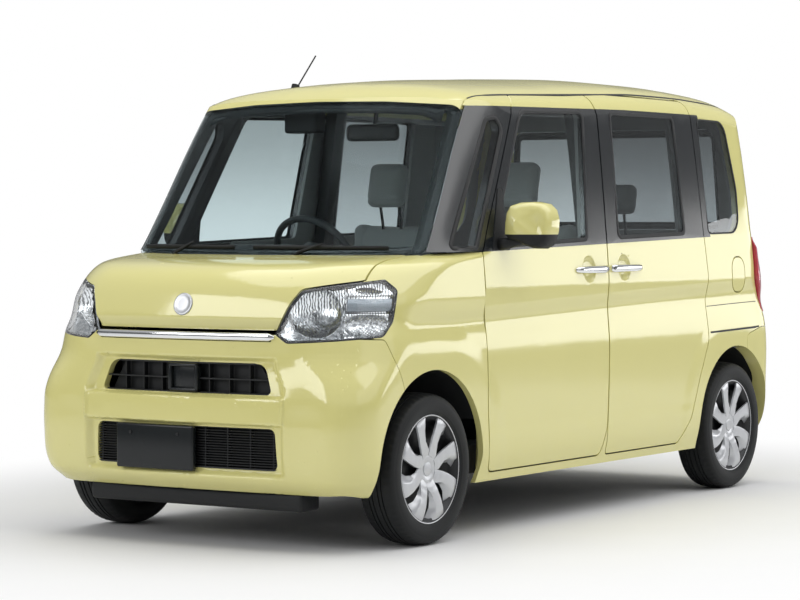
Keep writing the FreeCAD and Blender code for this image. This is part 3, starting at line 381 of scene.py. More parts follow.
# The left piece and its mirror image. A star in a name stands for the side, and a node named without one is
# replaced by the left piece alone
def addPair(name, mesh, material, body, slot, nodes=(), **others):
    pair = []
    for side in ("left", "right"):
        placed = mesh if side == "left" else flipped(mesh)
        named = [node.replace("*", side) for node in nodes if side == "left" or "*" in node]
        pair.append(addPiece(name.replace("*", side), placed, material, body.replace("*", side), slot, named,
                             **others))
    return pair


def opened(mesh):
    work = bmesh.new()
    work.from_mesh(mesh)
    return work


def meshOf(work, name):
    mesh = bpy.data.meshes.new(name)
    work.to_mesh(mesh)
    work.free()
    return mesh


def cleaned(work, name):
    bmesh.ops.remove_doubles(work, verts=work.verts, dist=1e-6)
    bmesh.ops.recalc_face_normals(work, faces=work.faces)
    return meshOf(work, name)


def joinMeshes(name, meshes):
    work = bmesh.new()
    for mesh in meshes:
        work.from_mesh(mesh)
        bpy.data.meshes.remove(mesh)
    return meshOf(work, name)


def flipped(mesh):
    other = mesh.copy()
    other.name = mesh.name + "Right"
    other.transform(Matrix.Scale(-1, 4, xAxis))
    other.flip_normals()
    return other


def cutPlane(work, spot, normal):
    geom = work.verts[:] + work.edges[:] + work.faces[:]
    bmesh.ops.bisect_plane(work, geom=geom, dist=1e-6, plane_co=spot, plane_no=normal)


# The first ring of points, extruded to each of the others in turn, with the ends capped
def ringMesh(name, rings, closed=True, capEnds=True):
    work = bmesh.new()
    verts = [work.verts.new(spot) for spot in rings[0]]
    pairs = list(zip(verts, verts[1:] + verts[:1]))
    edges = [work.edges.new(pair) for pair in (pairs if closed else pairs[:-1])]
    ends = [verts]
    for ring in rings[1:]:
        made = bmesh.ops.extrude_edge_only(work, edges=edges)["geom"]
        fresh = {item for item in made if isinstance(item, bmesh.types.BMVert)}
        sides = [item for item in made if isinstance(item, bmesh.types.BMEdge)]
        edges = [side for side in sides if fresh.issuperset(side.verts)]
        others = [[edge.other_vert(vert) for edge in vert.link_edges] for vert in verts]
        verts = [next(vert for vert in near if vert in fresh) for near in others]
        for vert, spot in zip(verts, ring):
            vert.co = spot
    if capEnds:
        for loop in ends + [verts]:
            work.faces.new(loop)
    return cleaned(work, name)


def boxMesh(name, x0, x1, y0, y1, z0, z1, round, segments=3):
    work = bmesh.new()
    bmesh.ops.create_cube(work, size=1.0)
    low = at(x0, y0, z0)
    high = at(x1, y1, z1)
    for vert in work.verts:
        vert.co = Vector([low[i] + (high[i] - low[i]) * (vert.co[i] + 0.5) for i in range(3)])
    bmesh.ops.bevel(work, geom=work.edges[:], offset=round / 1000, affect="EDGES", segments=segments,
                    profile=0.5, material=-1)
    return meshOf(work, name)


# A profile of distance across and radius in millimetres, spun round the centre
def latheMesh(name, profile, centre, segments):
    work = bmesh.new()
    verts = [work.verts.new(centre + Vector((a, 0, r)) / 1000) for a, r in profile]
    edges = [work.edges.new(pair) for pair in zip(verts, verts[1:])]
    bmesh.ops.spin(work, geom=verts + edges, cent=centre, axis=xAxis, angle=2 * math.pi, steps=segments,
                   use_merge=True)
    return cleaned(work, name)


def tubeMesh(name, path, radius, sides=10):
    rings = []
    for i, point in enumerate(path):
        ahead = path[min(i + 1, len(path) - 1)] - path[max(i - 1, 0)]
        ahead.normalize()
        side = ahead.cross(zAxis)
        if side.length < 0.1:
            side = ahead.cross(yAxis)
        side.normalize()
        other = side.cross(ahead)
        size = radius[i] if isinstance(radius, list) else radius
        turns = [2 * math.pi * j / sides for j in range(sides)]
        rings.append([point + (side * math.cos(turn) + other * math.sin(turn)) * size for turn in turns])
    return ringMesh(name, rings)


# A shape lofted through sections, each a centre, two half sizes and a squareness
def sections(name, stations, across, up, sides=20):
    rings = []
    for centre, wide, tall, square in stations:
        ring = []
        for i in range(sides):
            c = math.cos(2 * math.pi * i / sides)
            d = math.sin(2 * math.pi * i / sides)
            x = math.copysign(abs(c) ** (2 / square), c) * wide
            y = math.copysign(abs(d) ** (2 / square), d) * tall
            ring.append(centre + across * x + up * y)
        rings.append(ring)
    return ringMesh(name, rings)


# Smooth step from 0 to 1 between two values
def soft(value, low, high):
    t = min(max((value - low) / (high - low), 0.0), 1.0)
    return t * t * (3 - 2 * t)


# A copy of a node's mesh, cut finer where tooLong says so, with its points moved by move. Edges sharper than
# the angle in sharp are marked, apart from those at slivers
def sculpted(name, node, passes, tooLong, move, join=1e-5, sharp=0.0, sliver=0.0):
    work = opened(frame["nodes"][node].data)
    bmesh.ops.remove_doubles(work, verts=work.verts, dist=join)
    if sliver:
        bmesh.ops.dissolve_degenerate(work, dist=2e-4, edges=work.edges)
    for step in range(passes):
        edges = [edge for edge in work.edges if tooLong(edge)]
        if edges:
            bmesh.ops.subdivide_edges(work, edges=edges, cuts=1)
            bmesh.ops.triangulate(work, faces=work.faces)
    for vert in work.verts:
        vert.co += move(vert.co)
    bmesh.ops.recalc_face_normals(work, faces=work.faces)
    if sharp:
        for edge in work.edges:
            if edge.is_manifold and edge.calc_face_angle() > math.radians(sharp):
                edge.smooth = min(face.calc_area() for face in edge.link_faces) < sliver
    return meshOf(work, name)


# Surfaces of nodes, and the first spot where a ray meets them, with the normal toward the ray
def surfaceOf(*names):
    trees = []
    for name in names:
        work = opened(frame["nodes"][name].data)
        trees.append(BVHTree.FromBMesh(work))
        work.free()
    return trees


def hitOn(trees, origin, direction):
    best = None
    for tree in trees:
        spot, normal, index, distance = tree.ray_cast(origin, direction)
        if spot is not None and (best is None or distance < best[0]):
            best = (distance, spot, normal if normal.dot(direction) < 0 else -normal)
    return best


print("tyres and wheel covers")

# Crown and side as distance from the wheel's middle and radius in millimetres
tyre = {"segments": 180, "groove": 5.5, "grooves": (-31, -15, 10, 26), "grooveEdges": (0.6, 4.4),
        "notch": 3.2, "slant": 0.012,
        "crown": [(-57, 266.5), (-48, 269.5), (-32, 271), (-31, 271), (-26, 271.4), (-16, 271.8), (-15, 271.8),
                  (-10, 272), (0, 272), (10, 272), (15, 271.8), (16, 271.8), (26, 271.4), (31, 271), (32, 271),
                  (48, 269.5), (57, 266.5)],
        "side": [(58.3, 182), (60, 188), (63.5, 192.5), (69, 198), (73, 205), (74.2, 206.5), (74.6, 208.5),
                 (76.6, 216), (77.5, 226), (77.1, 236), (75.6, 244), (75.0, 245.2), (74.9, 246.8), (73, 253),
                 (68, 261), (62, 265)]}


def tyreMesh(centre):
    profile = [(-a, r) for a, r in tyre["side"]]
    for a, r in tyre["crown"]:
        profile.append((a, r))
        if a in tyre["grooves"]:
            profile += [(a + edge, r - tyre["groove"]) for edge in tyre["grooveEdges"]]
    profile += tyre["side"][::-1]
    rings = []
    for i in range(tyre["segments"]):
        ring = []
        for a, r in profile:
            turn = 2 * math.pi * i / tyre["segments"]
            if abs(a) > 40 and r > 264:
                turn += math.copysign(tyre["slant"], a)
                r -= tyre["notch"] if i % 3 == 0 else 0.0
            ring.append(centre + Vector((a, r * math.sin(turn), r * math.cos(turn))) / 1000)
        rings.append(ring)
    return ringMesh("tyreMesh", rings + rings[:1], capEnds=False)


def mix(table, key):
    for (low, a), (high, b) in zip(table, table[1:]):
        if key <= high:
            t = max((key - low) / (high - low), 0.0)
            return a + (b - a) * (t * t * (3 - 2 * t))
    return table[-1][1]


# Tables over the radius in millimetres
bladeHeight = [(44, 50.4), (64, 54), (90, 58), (130, 62), (155, 62.5), (172, 60), (178, 57)]
bladeWidth = [(44, 45), (60, 44), (70, 36), (82, 27), (98, 21.5), (130, 18.5), (160, 19), (178, 20.5)]
facetWidth = [(44, 0.3), (72, 2.0), (95, 5), (125, 8), (150, 11), (178, 15)]
facetDrop = [(44, 1), (72, 5), (95, 12), (178, 24)]
cover = {"blades": 8, "swirl": 0.085, "grow": 1.083, "out": 5.0, "thickness": 0.0026, "steps": 20,
         "hub": [(49.5, 0), (49.5, 20), (48.6, 22.5), (46.5, 23.4), (46.5, 25), (47.6, 28), (49.2, 38),
                 (49.6, 46), (48.0, 48), (44, 46), (42, 0)],
         "ring": [(30, 160), (38, 163), (48, 169), (56.5, 172.5), (60, 174.5), (61.5, 177), (61.5, 179.5),
                  (59.5, 181.5), (52, 183), (46, 184), (44, 181), (28, 164), (30, 160)]}


def coverMesh(centre):
    blades = []

    def put(a, r, degrees):
        turn = math.radians(degrees)
        reach = r * cover["grow"]
        return centre + Vector((a + cover["out"], reach * math.sin(turn), reach * math.cos(turn))) / 1000

    for blade in range(cover["blades"]):
        grid = []
        for i in range(cover["steps"] + 1):
            r = 44 + (176 - 44) * i / cover["steps"]
            start = 360 * blade / cover["blades"] - 28 + cover["swirl"] * (r - 180)
            top = mix(bladeHeight, r)
            wide = mix(bladeWidth, r)
            facet = mix(facetWidth, r)
            drop = mix(facetDrop, r)
            row = [put(top - 7, r, start - 1.2 * 60 / r), put(top - 0.5, r, start)]
            for j in range(1, 6):
                row.append(put(top + 1.2 * math.sin(math.pi * j / 6) - 1.5 * j / 6, r, start + wide * j / 6))
            for low, out in ((0, 0), (0.55, 0.5), (1, 1)):
                row.append(put(top - 1.6 - drop * low, r, start + wide + facet * out))
            grid.append(row)
        blades.append(ringMesh("blade", grid, closed=False, capEnds=False))
    work = opened(joinMeshes("blades", blades))
    bmesh.ops.solidify(work, geom=work.faces[:], thickness=cover["thickness"])
    bmesh.ops.recalc_face_normals(work, faces=work.faces)
    parts = [meshOf(work, "blades")]
    for part, segments in (("hub", 96), ("ring", 128)):
        line = [(a + cover["out"], r * cover["grow"]) for a, r in cover[part]]
        parts.append(latheMesh(part, line, centre, segments))
    return joinMeshes("coverMesh", parts)


rimLine = [(66, 192), (66, 189), (62, 186), (57, 184.5), (50, 178), (40, 172), (24, 166), (22, 150),
           (20, 140), (26, 120), (28, 70), (20, 60), (20, 17.1), (4, 17.1), (0, 60), (8, 75), (10, 130),
           (4, 160), (-40, 160), (-60, 172), (-62, 190), (-66, 192), (-66, 186), (-62, 178.3), (58, 178.3),
           (61, 190), (66, 192)]
for axle, centre in (("front", at(652.5, 0, 272)), ("rear", at(647.5, 2455, 272))):
    body = "wheel_" + axle + "_*"
    addPair("tyre_" + axle + "_*_look", tyreMesh(centre), tyreRubber, body, "tyre", ["tyre_" + axle + "_*"],
            bevel=(0.0007, 1, 50))
    addPair("cover_" + axle + "_*", coverMesh(centre), silver, body, "wheel_cover", bevel=(0.0006, 2, 40))
    rim = latheMesh("rimMesh", rimLine, centre, 96)
    addPair("rim_" + axle + "_*", rim, darkSteel, body, "wheel_cover", [body])

print("headlamps")

# Directions, and sizes in metres. The grid's box starts at start and foot
headlamp = {"out": Vector((math.sin(lampTurn), -math.cos(lampTurn), 0)),
            "along": Vector((math.cos(lampTurn), math.sin(lampTurn), 0)),
            "lens": 0.003, "bezel": 0.0015, "depth": 0.062, "rim": 0.010, "rimDrop": -0.007,
            "start": -0.03, "foot": 0.725, "length": 0.46, "height": 0.24}


def lampSkin():
    work = opened(frame["nodes"]["headlamps"].data)
    bmesh.ops.remove_doubles(work, verts=work.verts, dist=1e-5)
    gone = [face for face in work.faces
            if face.calc_center_median().x < 0 or face.normal.dot(headlamp["out"]) < 0.35]
    bmesh.ops.delete(work, geom=gone, context="FACES")
    bmesh.ops.dissolve_degenerate(work, edges=work.edges, dist=1e-5)
    return work


lampEdges = []
work = lampSkin()
for edge in work.edges:
    if edge.is_boundary:
        lampEdges.append([vert.co.copy() for vert in edge.verts])
lampTree = BVHTree.FromBMesh(work)
work.free()


# Where the skin is met, at a distance along the lamp and a height in metres
def lampHit(s, z):
    origin = at(0, 0, 0) + headlamp["out"] * 1.2 + headlamp["along"] * s + zAxis * z
    return lampTree.ray_cast(origin, -headlamp["out"])[0]


def borderDistance(point):
    best = 1.0
    for a, b in lampEdges:
        span = b - a
        t = min(max((point - a).dot(span) / max(span.length_squared, 1e-12), 0.0), 1.0)
        best = min(best, (point - (a + span * t)).length)
    return best


# A regular grid behind the skin, as deep as depthAt says, with nothing where that is None
def gridSkin(name, step, depthAt):
    work = bmesh.new()
    columns = int(headlamp["length"] / step)
    rows = int(headlamp["height"] / step)
    bmesh.ops.create_grid(work, x_segments=columns, y_segments=rows, size=0.5)
    lost = []
    for vert in work.verts:
        s = headlamp["start"] + round((vert.co.x + 0.5) * columns) * step
        z = headlamp["foot"] + round((vert.co.y + 0.5) * rows) * step
        hit = lampHit(s, z)
        depth = depthAt(borderDistance(hit), s, z) if hit else None
        if depth is None:
            lost.append(vert)
        else:
            vert.co = hit - headlamp["out"] * depth
    bmesh.ops.delete(work, geom=lost, context="VERTS")
    return cleaned(work, name)


def bowl(s, z, centreS, centreZ, reachS, reachZ, depth):
    rho = ((s - centreS) / reachS) ** 2 + ((z - centreZ) / reachZ) ** 2
    return depth * max(1 - rho, 0.0) ** 0.75


def ripple(value, length):
    return math.sin(value * 2 * math.pi / length)


def reflectorDepth(gap, s, z):
    if gap < 0.0035:
        return None
    split = 0.212 + (z - 0.76) * 0.12
    depth = 0.013 + 0.004 * soft(gap, 0.004, 0.012)
    if s < split:
        cup = bowl(s, z, 0.122, 0.838, 0.094, 0.088, headlamp["depth"])
        flutes = ripple(s, 0.0085) * soft(z, 0.84, 0.87) + ripple(s + z, 0.011) * soft(0.83 - z, 0.0, 0.03)
        depth += cup + 0.0016 * flutes * min(cup / 0.02, 1.0)
    elif z < 0.832:
        cup = bowl(s, z, 0.300, 0.790, 0.085, 0.042, 0.034)
        depth += cup + 0.0022 * ripple(s, 0.012) * ripple(z, 0.010) * min(cup / 0.01, 1)
    elif z > 0.893:
        depth += bowl(s, z, 0.318, 0.918, 0.055, 0.022, 0.018) + 0.0016 * ripple(s, 0.006)
    else:
        depth += 0.010
    return depth + 0.012 * (1 - soft(abs(s - split), 0.0015, 0.004))


def bandDepth(gap, s, z):
    if gap < 0.012 or s < 0.216 + (z - 0.76) * 0.12 or z < 0.838 or z > 0.888:
        return None
    return 0.018 - 0.006 * math.sin(math.pi * (z - 0.838) / 0.05)


skin = lampSkin()
keep = set(bmesh.ops.inset_region(skin, faces=skin.faces[:], thickness=headlamp["rim"],
                                  depth=headlamp["rimDrop"], use_boundary=True, use_even_offset=True)["faces"])
bmesh.ops.delete(skin, geom=[face for face in skin.faces if face not in keep], context="FACES")
fins = []
for i in range(11):
    hit = lampHit(0.036 + 0.0115 * i, 0.775 + 0.0052 * i)
    if hit:
        root = hit - headlamp["out"] * 0.05
        tip = hit - headlamp["out"] * 0.014
        path = [root - zAxis * 0.006, tip, tip + zAxis * 0.012, root + zAxis * 0.014]
        fins.append(tubeMesh("fin", path, 0.0011, 6))
hit = lampHit(0.122, 0.84)
bulb = tubeMesh("bulbMesh", [hit - headlamp["out"] * depth for depth in (0.072, 0.060, 0.044, 0.036, 0.033)],
                [0.010, 0.0098, 0.0092, 0.006, 0.0015], 20)
addPair("headlamp_lens_*", meshOf(lampSkin(), "lensMesh"), lensClear, "body", "lamp", ["headlamps"],
        wall=headlamp["lens"])
addPair("headlamp_bezel_*", meshOf(skin, "bezelMesh"), blackTrim, "body", "black_trim",
        wall=headlamp["bezel"])
addPair("headlamp_reflector_*", gridSkin("reflectorMesh", 0.0028, reflectorDepth), reflectorMetal, "body",
        "bright_bar")
addPair("headlamp_band_*", gridSkin("bandMesh", 0.004, bandDepth), lampBand, "body", "black_trim")
addPair("headlamp_fins_*", joinMeshes("finsMesh", fins), lampChrome, "body", "bright_bar")
addPair("headlamp_bulb_*", bulb, satin, "body", "bright_bar")

print("sculpted front panels")

bumperForm = {"mouth": 0.028, "bar": 0.026, "scoop": 0.007, "lip": 0.012}
noseForm = {"bonnetLip": 0.016, "aim": 0.35, "halfWidth": 0.66, "back": 0.2}


# How far the skin lies inside the plain nose, in metres
def bumperShift(point):
    x = abs(point.x)
    z = point.z
    mouthEdge = 0.436 - 0.040 * soft(z, 0.55, 0.67)
    inMouth = soft(mouthEdge - x, -0.008, 0.012)
    mouth = inMouth * soft(z, 0.258, 0.282) * soft(0.682 - z, 0.0, 0.020)
    bar = soft(mouthEdge - x, -0.008, 0.006) * soft(z, 0.437, 0.449) * soft(0.548 - z, 0.0, 0.012)
    scoop = math.exp(-((x - 0.520) / 0.070) ** 2) * soft(z, 0.26, 0.36) * soft(0.620 - z, 0.0, 0.16)
    scoop *= soft(x, 0.425, 0.470)
    lip = soft(0.258 - z, 0.0, 0.05)
    return (bumperForm["mouth"] * mouth - bumperForm["bar"] * bar + bumperForm["scoop"] * scoop
            + bumperForm["lip"] * lip)


def bonnetShift(point):
    return noseForm["bonnetLip"] * soft(0.822 - point.z, 0.0, 0.042) if point.y <= frontAxle - 0.35 else 0.0


for name, node, body, longest, shiftAt, passes in (
        ("bumper_skin", "front_bumper", "body", 0.0085, bumperShift, 8),
        ("bonnet_skin", "bonnet", "bonnet", 0.014, bonnetShift, 6)):

    def onNose(edge):
        spot = edge.verts[0].co
        near = abs(spot.x) < noseForm["halfWidth"] and spot.y < frontAxle - noseForm["back"]
        return near and edge.calc_length() > longest

    def inward(point):
        return (Vector((0, frontAxle + noseForm["aim"], point.z)) - point).normalized() * shiftAt(point)

    skin = sculpted(name + "Mesh", node, passes, onNose, inward, join=5e-5, sharp=38, sliver=4e-7)
    addPiece(name, skin, paint, body, "paint", [node])

print("grilles")

upperGrille = {"low": 547, "high": 659, "wideLow": 389, "wideHigh": 352, "front": -498, "bow": 3600,
               "roundLow": 16, "roundHigh": 46}
lowerGrille = {"low": 286, "high": 435, "wideLow": 414, "wideHigh": 406, "front": -508, "bow": 4480,
               "roundLow": 22, "roundHigh": 26}


def grilleMesh(name, settings, slats, uprights, slatHeight, depth):
    low = settings["low"]
    high = settings["high"]

    def bowed(x, z, back):
        return at(x, settings["front"] + back + x * x / (2 * settings["bow"]), z)

    def wide(z):
        edge = settings["wideLow"] + (settings["wideHigh"] - settings["wideLow"]) * (z - low) / (high - low)
        for near, radius in ((z - low, settings["roundLow"]), (high - z, settings["roundHigh"])):
            if near < radius:
                edge -= radius - math.sqrt(radius * radius - (radius - near) ** 2)
        return edge - 9

    def slat(z0, z1, back0, back1, wide0, wide1):
        rings = []
        for i in range(29):
            a = wide0 * (i / 14 - 1)
            b = wide1 * (i / 14 - 1)
            corners = ((a, z0, back0), (b, z1, back0 + 1.5), (b, z1, back1), (a, z0, back1))
            rings.append([bowed(*corner) for corner in corners])
        return ringMesh("slat", rings)

    parts = [slat(z - slatHeight / 2, z + slatHeight / 2, 2, depth, wide(z), wide(z)) for z in slats]
    for middle in uprights:
        rings = []
        for x in (middle - 2.2, middle + 2.2):
            corners = ((low, 6), (high, 6), (high, depth + 4), (low, depth + 4))
            rings.append([bowed(x, z, back) for z, back in corners])
        parts.append(ringMesh("upright", rings))
    for z0, z1, back0, back1 in ((low, low + 6, 0, depth + 8), (high - 6, high, 0, depth + 8),
                                 (low, high, depth + 8, depth + 11)):
        parts.append(slat(z0, z1, back0, back1, wide(z0), wide(z1)))
    return joinMeshes(name, parts)


upperMesh = grilleMesh("upperGrilleMesh", upperGrille, [601], [-275, -190, -105, 105, 190, 275], 5, 26)
addPiece("grille_upper", upperMesh, blackPlastic, "body", "black_plastic", ["grilles"], smooth=False,
         bevel=(0.0008, 2, 35))
lowerMesh = grilleMesh("lowerGrilleMesh", lowerGrille, [300 + 9.2 * i for i in range(14)],
                       [-380 + 95 * i for i in range(9)], 3.0, 20)
addPiece("grille_lower", lowerMesh, blackPlastic, "body", "black_plastic", smooth=False)
frameParts = [boxMesh("frame", -52, 52, -497, -480, 560, 646, 6)]
for x0, x1, z0, z1 in ((-66, 66, 552, 566), (-66, 66, 640, 654), (-66, -50, 552, 654), (50, 66, 552, 654)):
    frameParts.append(boxMesh("frame", x0, x1, -511, -482, z0, z1, 6))
addPiece("grille_frame", joinMeshes("grilleFrameMesh", frameParts), blackTrim, "body", "black_trim")
carrierMesh = boxMesh("carrierMesh", -279, 65, -537, -512, 274, 434, 8, 4)
addPiece("plate_carrier", carrierMesh, blackTrim, "body", "black_trim")
for side, x in (("right", -212), ("left", -2)):
    bolt = tubeMesh("bolt", [at(x, -536, 402), at(x, -540.5, 402)], 0.006, 24)
    addPiece("carrier_plug_" + side, bolt, blackPlastic, "body", "black_plastic", bevel=(0.001, 2, 35))

views = {"side": (lambda a, b: at(900, a, b), -xAxis, (yAxis, zAxis)),
         "front": (lambda a, b: at(a, -900, b), yAxis, (xAxis, zAxis)),
         "rear": (lambda a, b: at(a, 3200, b), -yAxis, (xAxis, zAxis))}


# What a ray from one of the views meets, at two coordinates in millimetres
def seen(trees, view, a, b):
    return hitOn(trees, views[view][0](a, b), views[view][1])


# A thin plate that follows a surface, seen along one axis, inside an outline in millimetres
def plateOn(name, trees, outline, view, lift, thick, step=30.0):
    origin, direction, axes = views[view]
    loop = [origin(a, b) for a, b in outline]
    work = bmesh.new()
    work.faces.new([work.verts.new(spot) for spot in loop])
    for axis in axes:
        values = [spot.dot(axis) for spot in loop]
        cut = min(values) + step / 1000
        while cut < max(values):
            cutPlane(work, axis * cut, axis)
            cut += step / 1000
    bmesh.ops.triangulate(work, faces=[face for face in work.faces if len(face.verts) > 4])
    lost = []
    for vert in work.verts:
        found = hitOn(trees, vert.co, direction)
        if found:
            vert.co = found[1] + found[2] * (lift / 1000)
        else:
            lost.append(vert)
    bmesh.ops.delete(work, geom=lost, context="VERTS")
    bmesh.ops.recalc_face_normals(work, faces=work.faces)
    for face in work.faces:
        face.normal_update()
    if sum(face.normal.dot(direction) for face in work.faces) > 0:
        bmesh.ops.reverse_faces(work, faces=work.faces)
    solid = opened(meshOf(work, name))
    bmesh.ops.solidify(solid, geom=solid.faces[:], thickness=thick / 1000)
    bmesh.ops.recalc_face_normals(solid, faces=solid.faces)
    return meshOf(solid, name)


print("bright bar, disc and lower lip")

barTrees = surfaceOf("grille_bar")
barMiddle = seen(barTrees, "front", 0, 752)[1].y
barBow = (seen(barTrees, "front", 360, 752)[1].y - barMiddle) / 0.36 ** 2
stations = []
for i in range(41):
    x = -0.393 + 0.786 * i / 40
    fade = min(1.0, (0.393 - abs(x)) / 0.004 + 0.35)
    spot = Vector((x, barMiddle + barBow * x * x - 0.001, 0.7525))
    stations.append((spot, 0.0085 * fade, 0.0135 * fade, 2.6))
barMesh = sections("barMesh", stations, yAxis, zAxis, 18)
addPiece("grille_bar_bright", barMesh, chrome, "body", "bright_bar", ["grille_bar"])
noseTrees = surfaceOf("grille_bar", "front_bumper", "headlamps")
outline = [(-384, 734), (384, 734), (384, 775), (-384, 775)]
backing = plateOn("barBackMesh", noseTrees, outline, "front", -6.0, 3.0)
addPiece("bar_backing", backing, blackTrim, "body", "black_trim")
disc = seen(surfaceOf("bonnet"), "front", 0, 862)
turn = disc[2].to_track_quat("Z", "Y").to_matrix()
rings = []
for rise, radius in ((-0.004, 0.040), (0.0025, 0.0405), (0.004, 0.038), (0.0042, 0.034), (0.0028, 0.031),
                     (0.0036, 0.018)):
    spots = [Vector((radius * math.cos(a * math.pi / 24), radius * math.sin(a * math.pi / 24), rise))
             for a in range(48)]
    rings.append([disc[1] + turn @ spot for spot in spots])
addPiece("bonnet_disc", ringMesh("discMesh", rings), silver, "bonnet", "bright_bar")
lip = boxMesh("lipMesh", -470, 470, -446, -330, 142, 206, 14)
addPiece("front_lip", lip, blackPlastic, "body", "black_plastic")

print("door mirrors")

mirrorForm = {"shape": [(738, 1104), (739, 1150), (745, 1190), (758, 1215), (790, 1226), (840, 1227),
                        (876, 1218), (896, 1196), (904, 1160), (902, 1120), (896, 1090), (886, 1066),
                        (866, 1053), (836, 1053), (812, 1062), (790, 1074), (756, 1082)],
              "depth": [(518, 0.40), (520, 0.70), (525, 0.85), (534, 0.93), (550, 0.975), (572, 0.995),
                        (596, 1.0), (601, 0.985), (602, 0.955), (596, 0.94), (592, 0.92)],
              "pane": [(590, 0.90), (594.5, 0.90), (595, 0.88)], "split": 1.106,
              "arm": [(724, 486, 1070, 0.030, 0.024), (748, 494, 1072, 0.028, 0.020),
                      (782, 512, 1080, 0.024, 0.017), (812, 530, 1086, 0.020, 0.016)]}


# Copies of the mirror's outline, each at its distance along the car and its scale
def mirrorMesh(name, steps):
    shape = mirrorForm["shape"]
    midX = sum(x for x, z in shape) / len(shape)
    midZ = sum(z for x, z in shape) / len(shape)
    rings = []
    for y, scale in steps:
        rings.append([at(midX + (x - midX) * scale, y - 26 + 0.38 * (x - midX), midZ + (z - midZ) * scale)
                      for x, z in shape])
    return ringMesh(name, rings)


shell = opened(mirrorMesh("mirrorShell", mirrorForm["depth"]))
split = Vector((0, 0, mirrorForm["split"]))
cutPlane(shell, split, zAxis)
mirrorSkins = {"mirror_cap_*": (paint, "paint", ["mirror_*"]),
               "mirror_shell_*": (blackPlastic, "black_plastic", [])}
for name, (material, slotName, nodes) in mirrorSkins.items():
    half = shell.copy()
    isShell = name == "mirror_shell_*"
    drop = [face for face in half.faces if (face.calc_center_median().z > split.z) == isShell]
    bmesh.ops.delete(half, geom=drop, context="FACES")
    bmesh.ops.contextual_create(half, geom=[edge for edge in half.edges if edge.is_boundary])
    bmesh.ops.recalc_face_normals(half, faces=half.faces)
    addPair(name, meshOf(half, "mirrorHalf"), material, "front_door_*", slotName, nodes, bevel=(0.002, 2, 35))
shell.free()
pane = mirrorMesh("mirrorPane", mirrorForm["pane"])
addPair("mirror_pane_*", pane, mirrorGlass, "front_door_*", "bright_bar")
stations = [(at(x, y, z), wide, tall, 3.0) for x, y, z, wide, tall in mirrorForm["arm"]]
addPair("mirror_arm_*", sections("mirrorArm", stations, yAxis, zAxis, 18), blackPlastic, "front_door_*",
        "black_plastic")
sailOutline = [(424, 1046), (548, 1048), (540, 1090), (536, 1262), (528, 1276), (505, 1276), (470, 1180)]
sailTrees = surfaceOf("front_door_left", "front_door_glass_left")
sail = plateOn("sailMesh", sailTrees, sailOutline, "side", 3.0, 4.0, 22.0)
addPair("mirror_sail_*", sail, blackPlastic, "front_door_*", "black_plastic", bevel=(0.0015, 2, 35))

print("door handles")

handleForm = {"front": {"body": "front_door_*", "from": 1040, "to": 1288, "bowl": 1150, "key": 1280, "z": 965},
              "slide": {"body": "body", "from": 1588, "to": 1326, "bowl": 1440, "key": 1338, "z": 967}}
# The bowl behind a handle, in metres, cut into edges no longer than longest and only outside skin
bowlForm = {"radius": 0.052, "depth": 0.010, "longest": 0.006, "skin": 0.70}
# Share of the length, distance from the door in millimetres, half height and half thickness in metres
handlePlan = [(0.0, 0.5, 0.004, 0.004), (0.02, 3.0, 0.009, 0.006), (0.08, 8.0, 0.0115, 0.008),
              (0.16, 14.0, 0.013, 0.0075), (0.3, 18.0, 0.0138, 0.007), (0.5, 19.0, 0.014, 0.0065),
              (0.7, 18.0, 0.0143, 0.0065), (0.84, 14.0, 0.0148, 0.0075), (0.95, 9.0, 0.0145, 0.008),
              (0.99, 5.0, 0.012, 0.006), (1.0, 2.0, 0.007, 0.004)]
for key, settings in handleForm.items():
    trees = surfaceOf(key + "_door_left")
    stations = []
    for share, lift, tall, thick in handlePlan:
        y = settings["from"] + (settings["to"] - settings["from"]) * share
        spot = seen(trees, "side", y, settings["z"])[1] + xAxis * (lift / 1000)
        stations.append((spot, thick, tall, 2.4))
    foot = seen(trees, "side", settings["key"], settings["z"] + 1)[1]
    path = [foot + xAxis * lift for lift in (0.001, 0.0155, 0.0158)]
    dot = tubeMesh("keyMesh", path, [0.0075, 0.0075, 0.006], 20)
    middle = at(0, settings["bowl"], settings["z"] + 2)

    def nearBowl(edge):
        spot = (edge.verts[0].co + edge.verts[1].co) / 2
        away = math.hypot(spot.y - middle.y, spot.z - middle.z)
        near = away < bowlForm["radius"] * 1.25 + edge.calc_length() / 2
        return edge.calc_length() > bowlForm["longest"] and near and abs(spot.x) > bowlForm["skin"]

    def intoBowl(point):
        away = math.hypot(point.y - middle.y, point.z - middle.z) / bowlForm["radius"]
        if away >= 1 or abs(point.x) <= bowlForm["skin"]:
            return Vector((0, 0, 0))
        return xAxis * -math.copysign(bowlForm["depth"] * (1 - away ** 4) ** 0.8, point.x)

    for side in ("left", "right"):
        node = key + "_door_" + side
        made = sculpted(node + "Mesh", node, 9, nearBowl, intoBowl, sharp=28)
        addPiece(node + "_skin", made, paintSide, settings["body"].replace("*", side), "paint", [node])
    grip = sections("gripMesh", stations, xAxis, zAxis, 20)
    addPair(key + "_handle_*", grip, chrome, settings["body"], "bright_bar")
    addPair(key + "_key_*", dot, blackTrim, settings["body"], "black_trim")


print("windscreen border")

borderForm = {"side": 44.0, "top": 42.0, "low": 34.0, "inside": -0.0062,
              "deeper": Vector((0, 0.0012, -0.0004))}
screenTrees = surfaceOf("windscreen")


def screenSpot(x, z, lift=0.0):
    found = seen(screenTrees, "front", x, z)
    return found[1] + found[2] * lift if found else None


# The last value that still meets the pane, on the way from low to high
def lastHit(low, high, spotAt):
    for step in range(14):
        middle = (low + high) / 2
        if spotAt(middle) is None:
            high = middle
        else:
            low = middle
    return low


# The height in millimetres where the pane starts
def screenFoot(x, lowest):
    while screenSpot(x, lowest) is None and lowest < 1100:
        lowest += 3.0
    return lowest


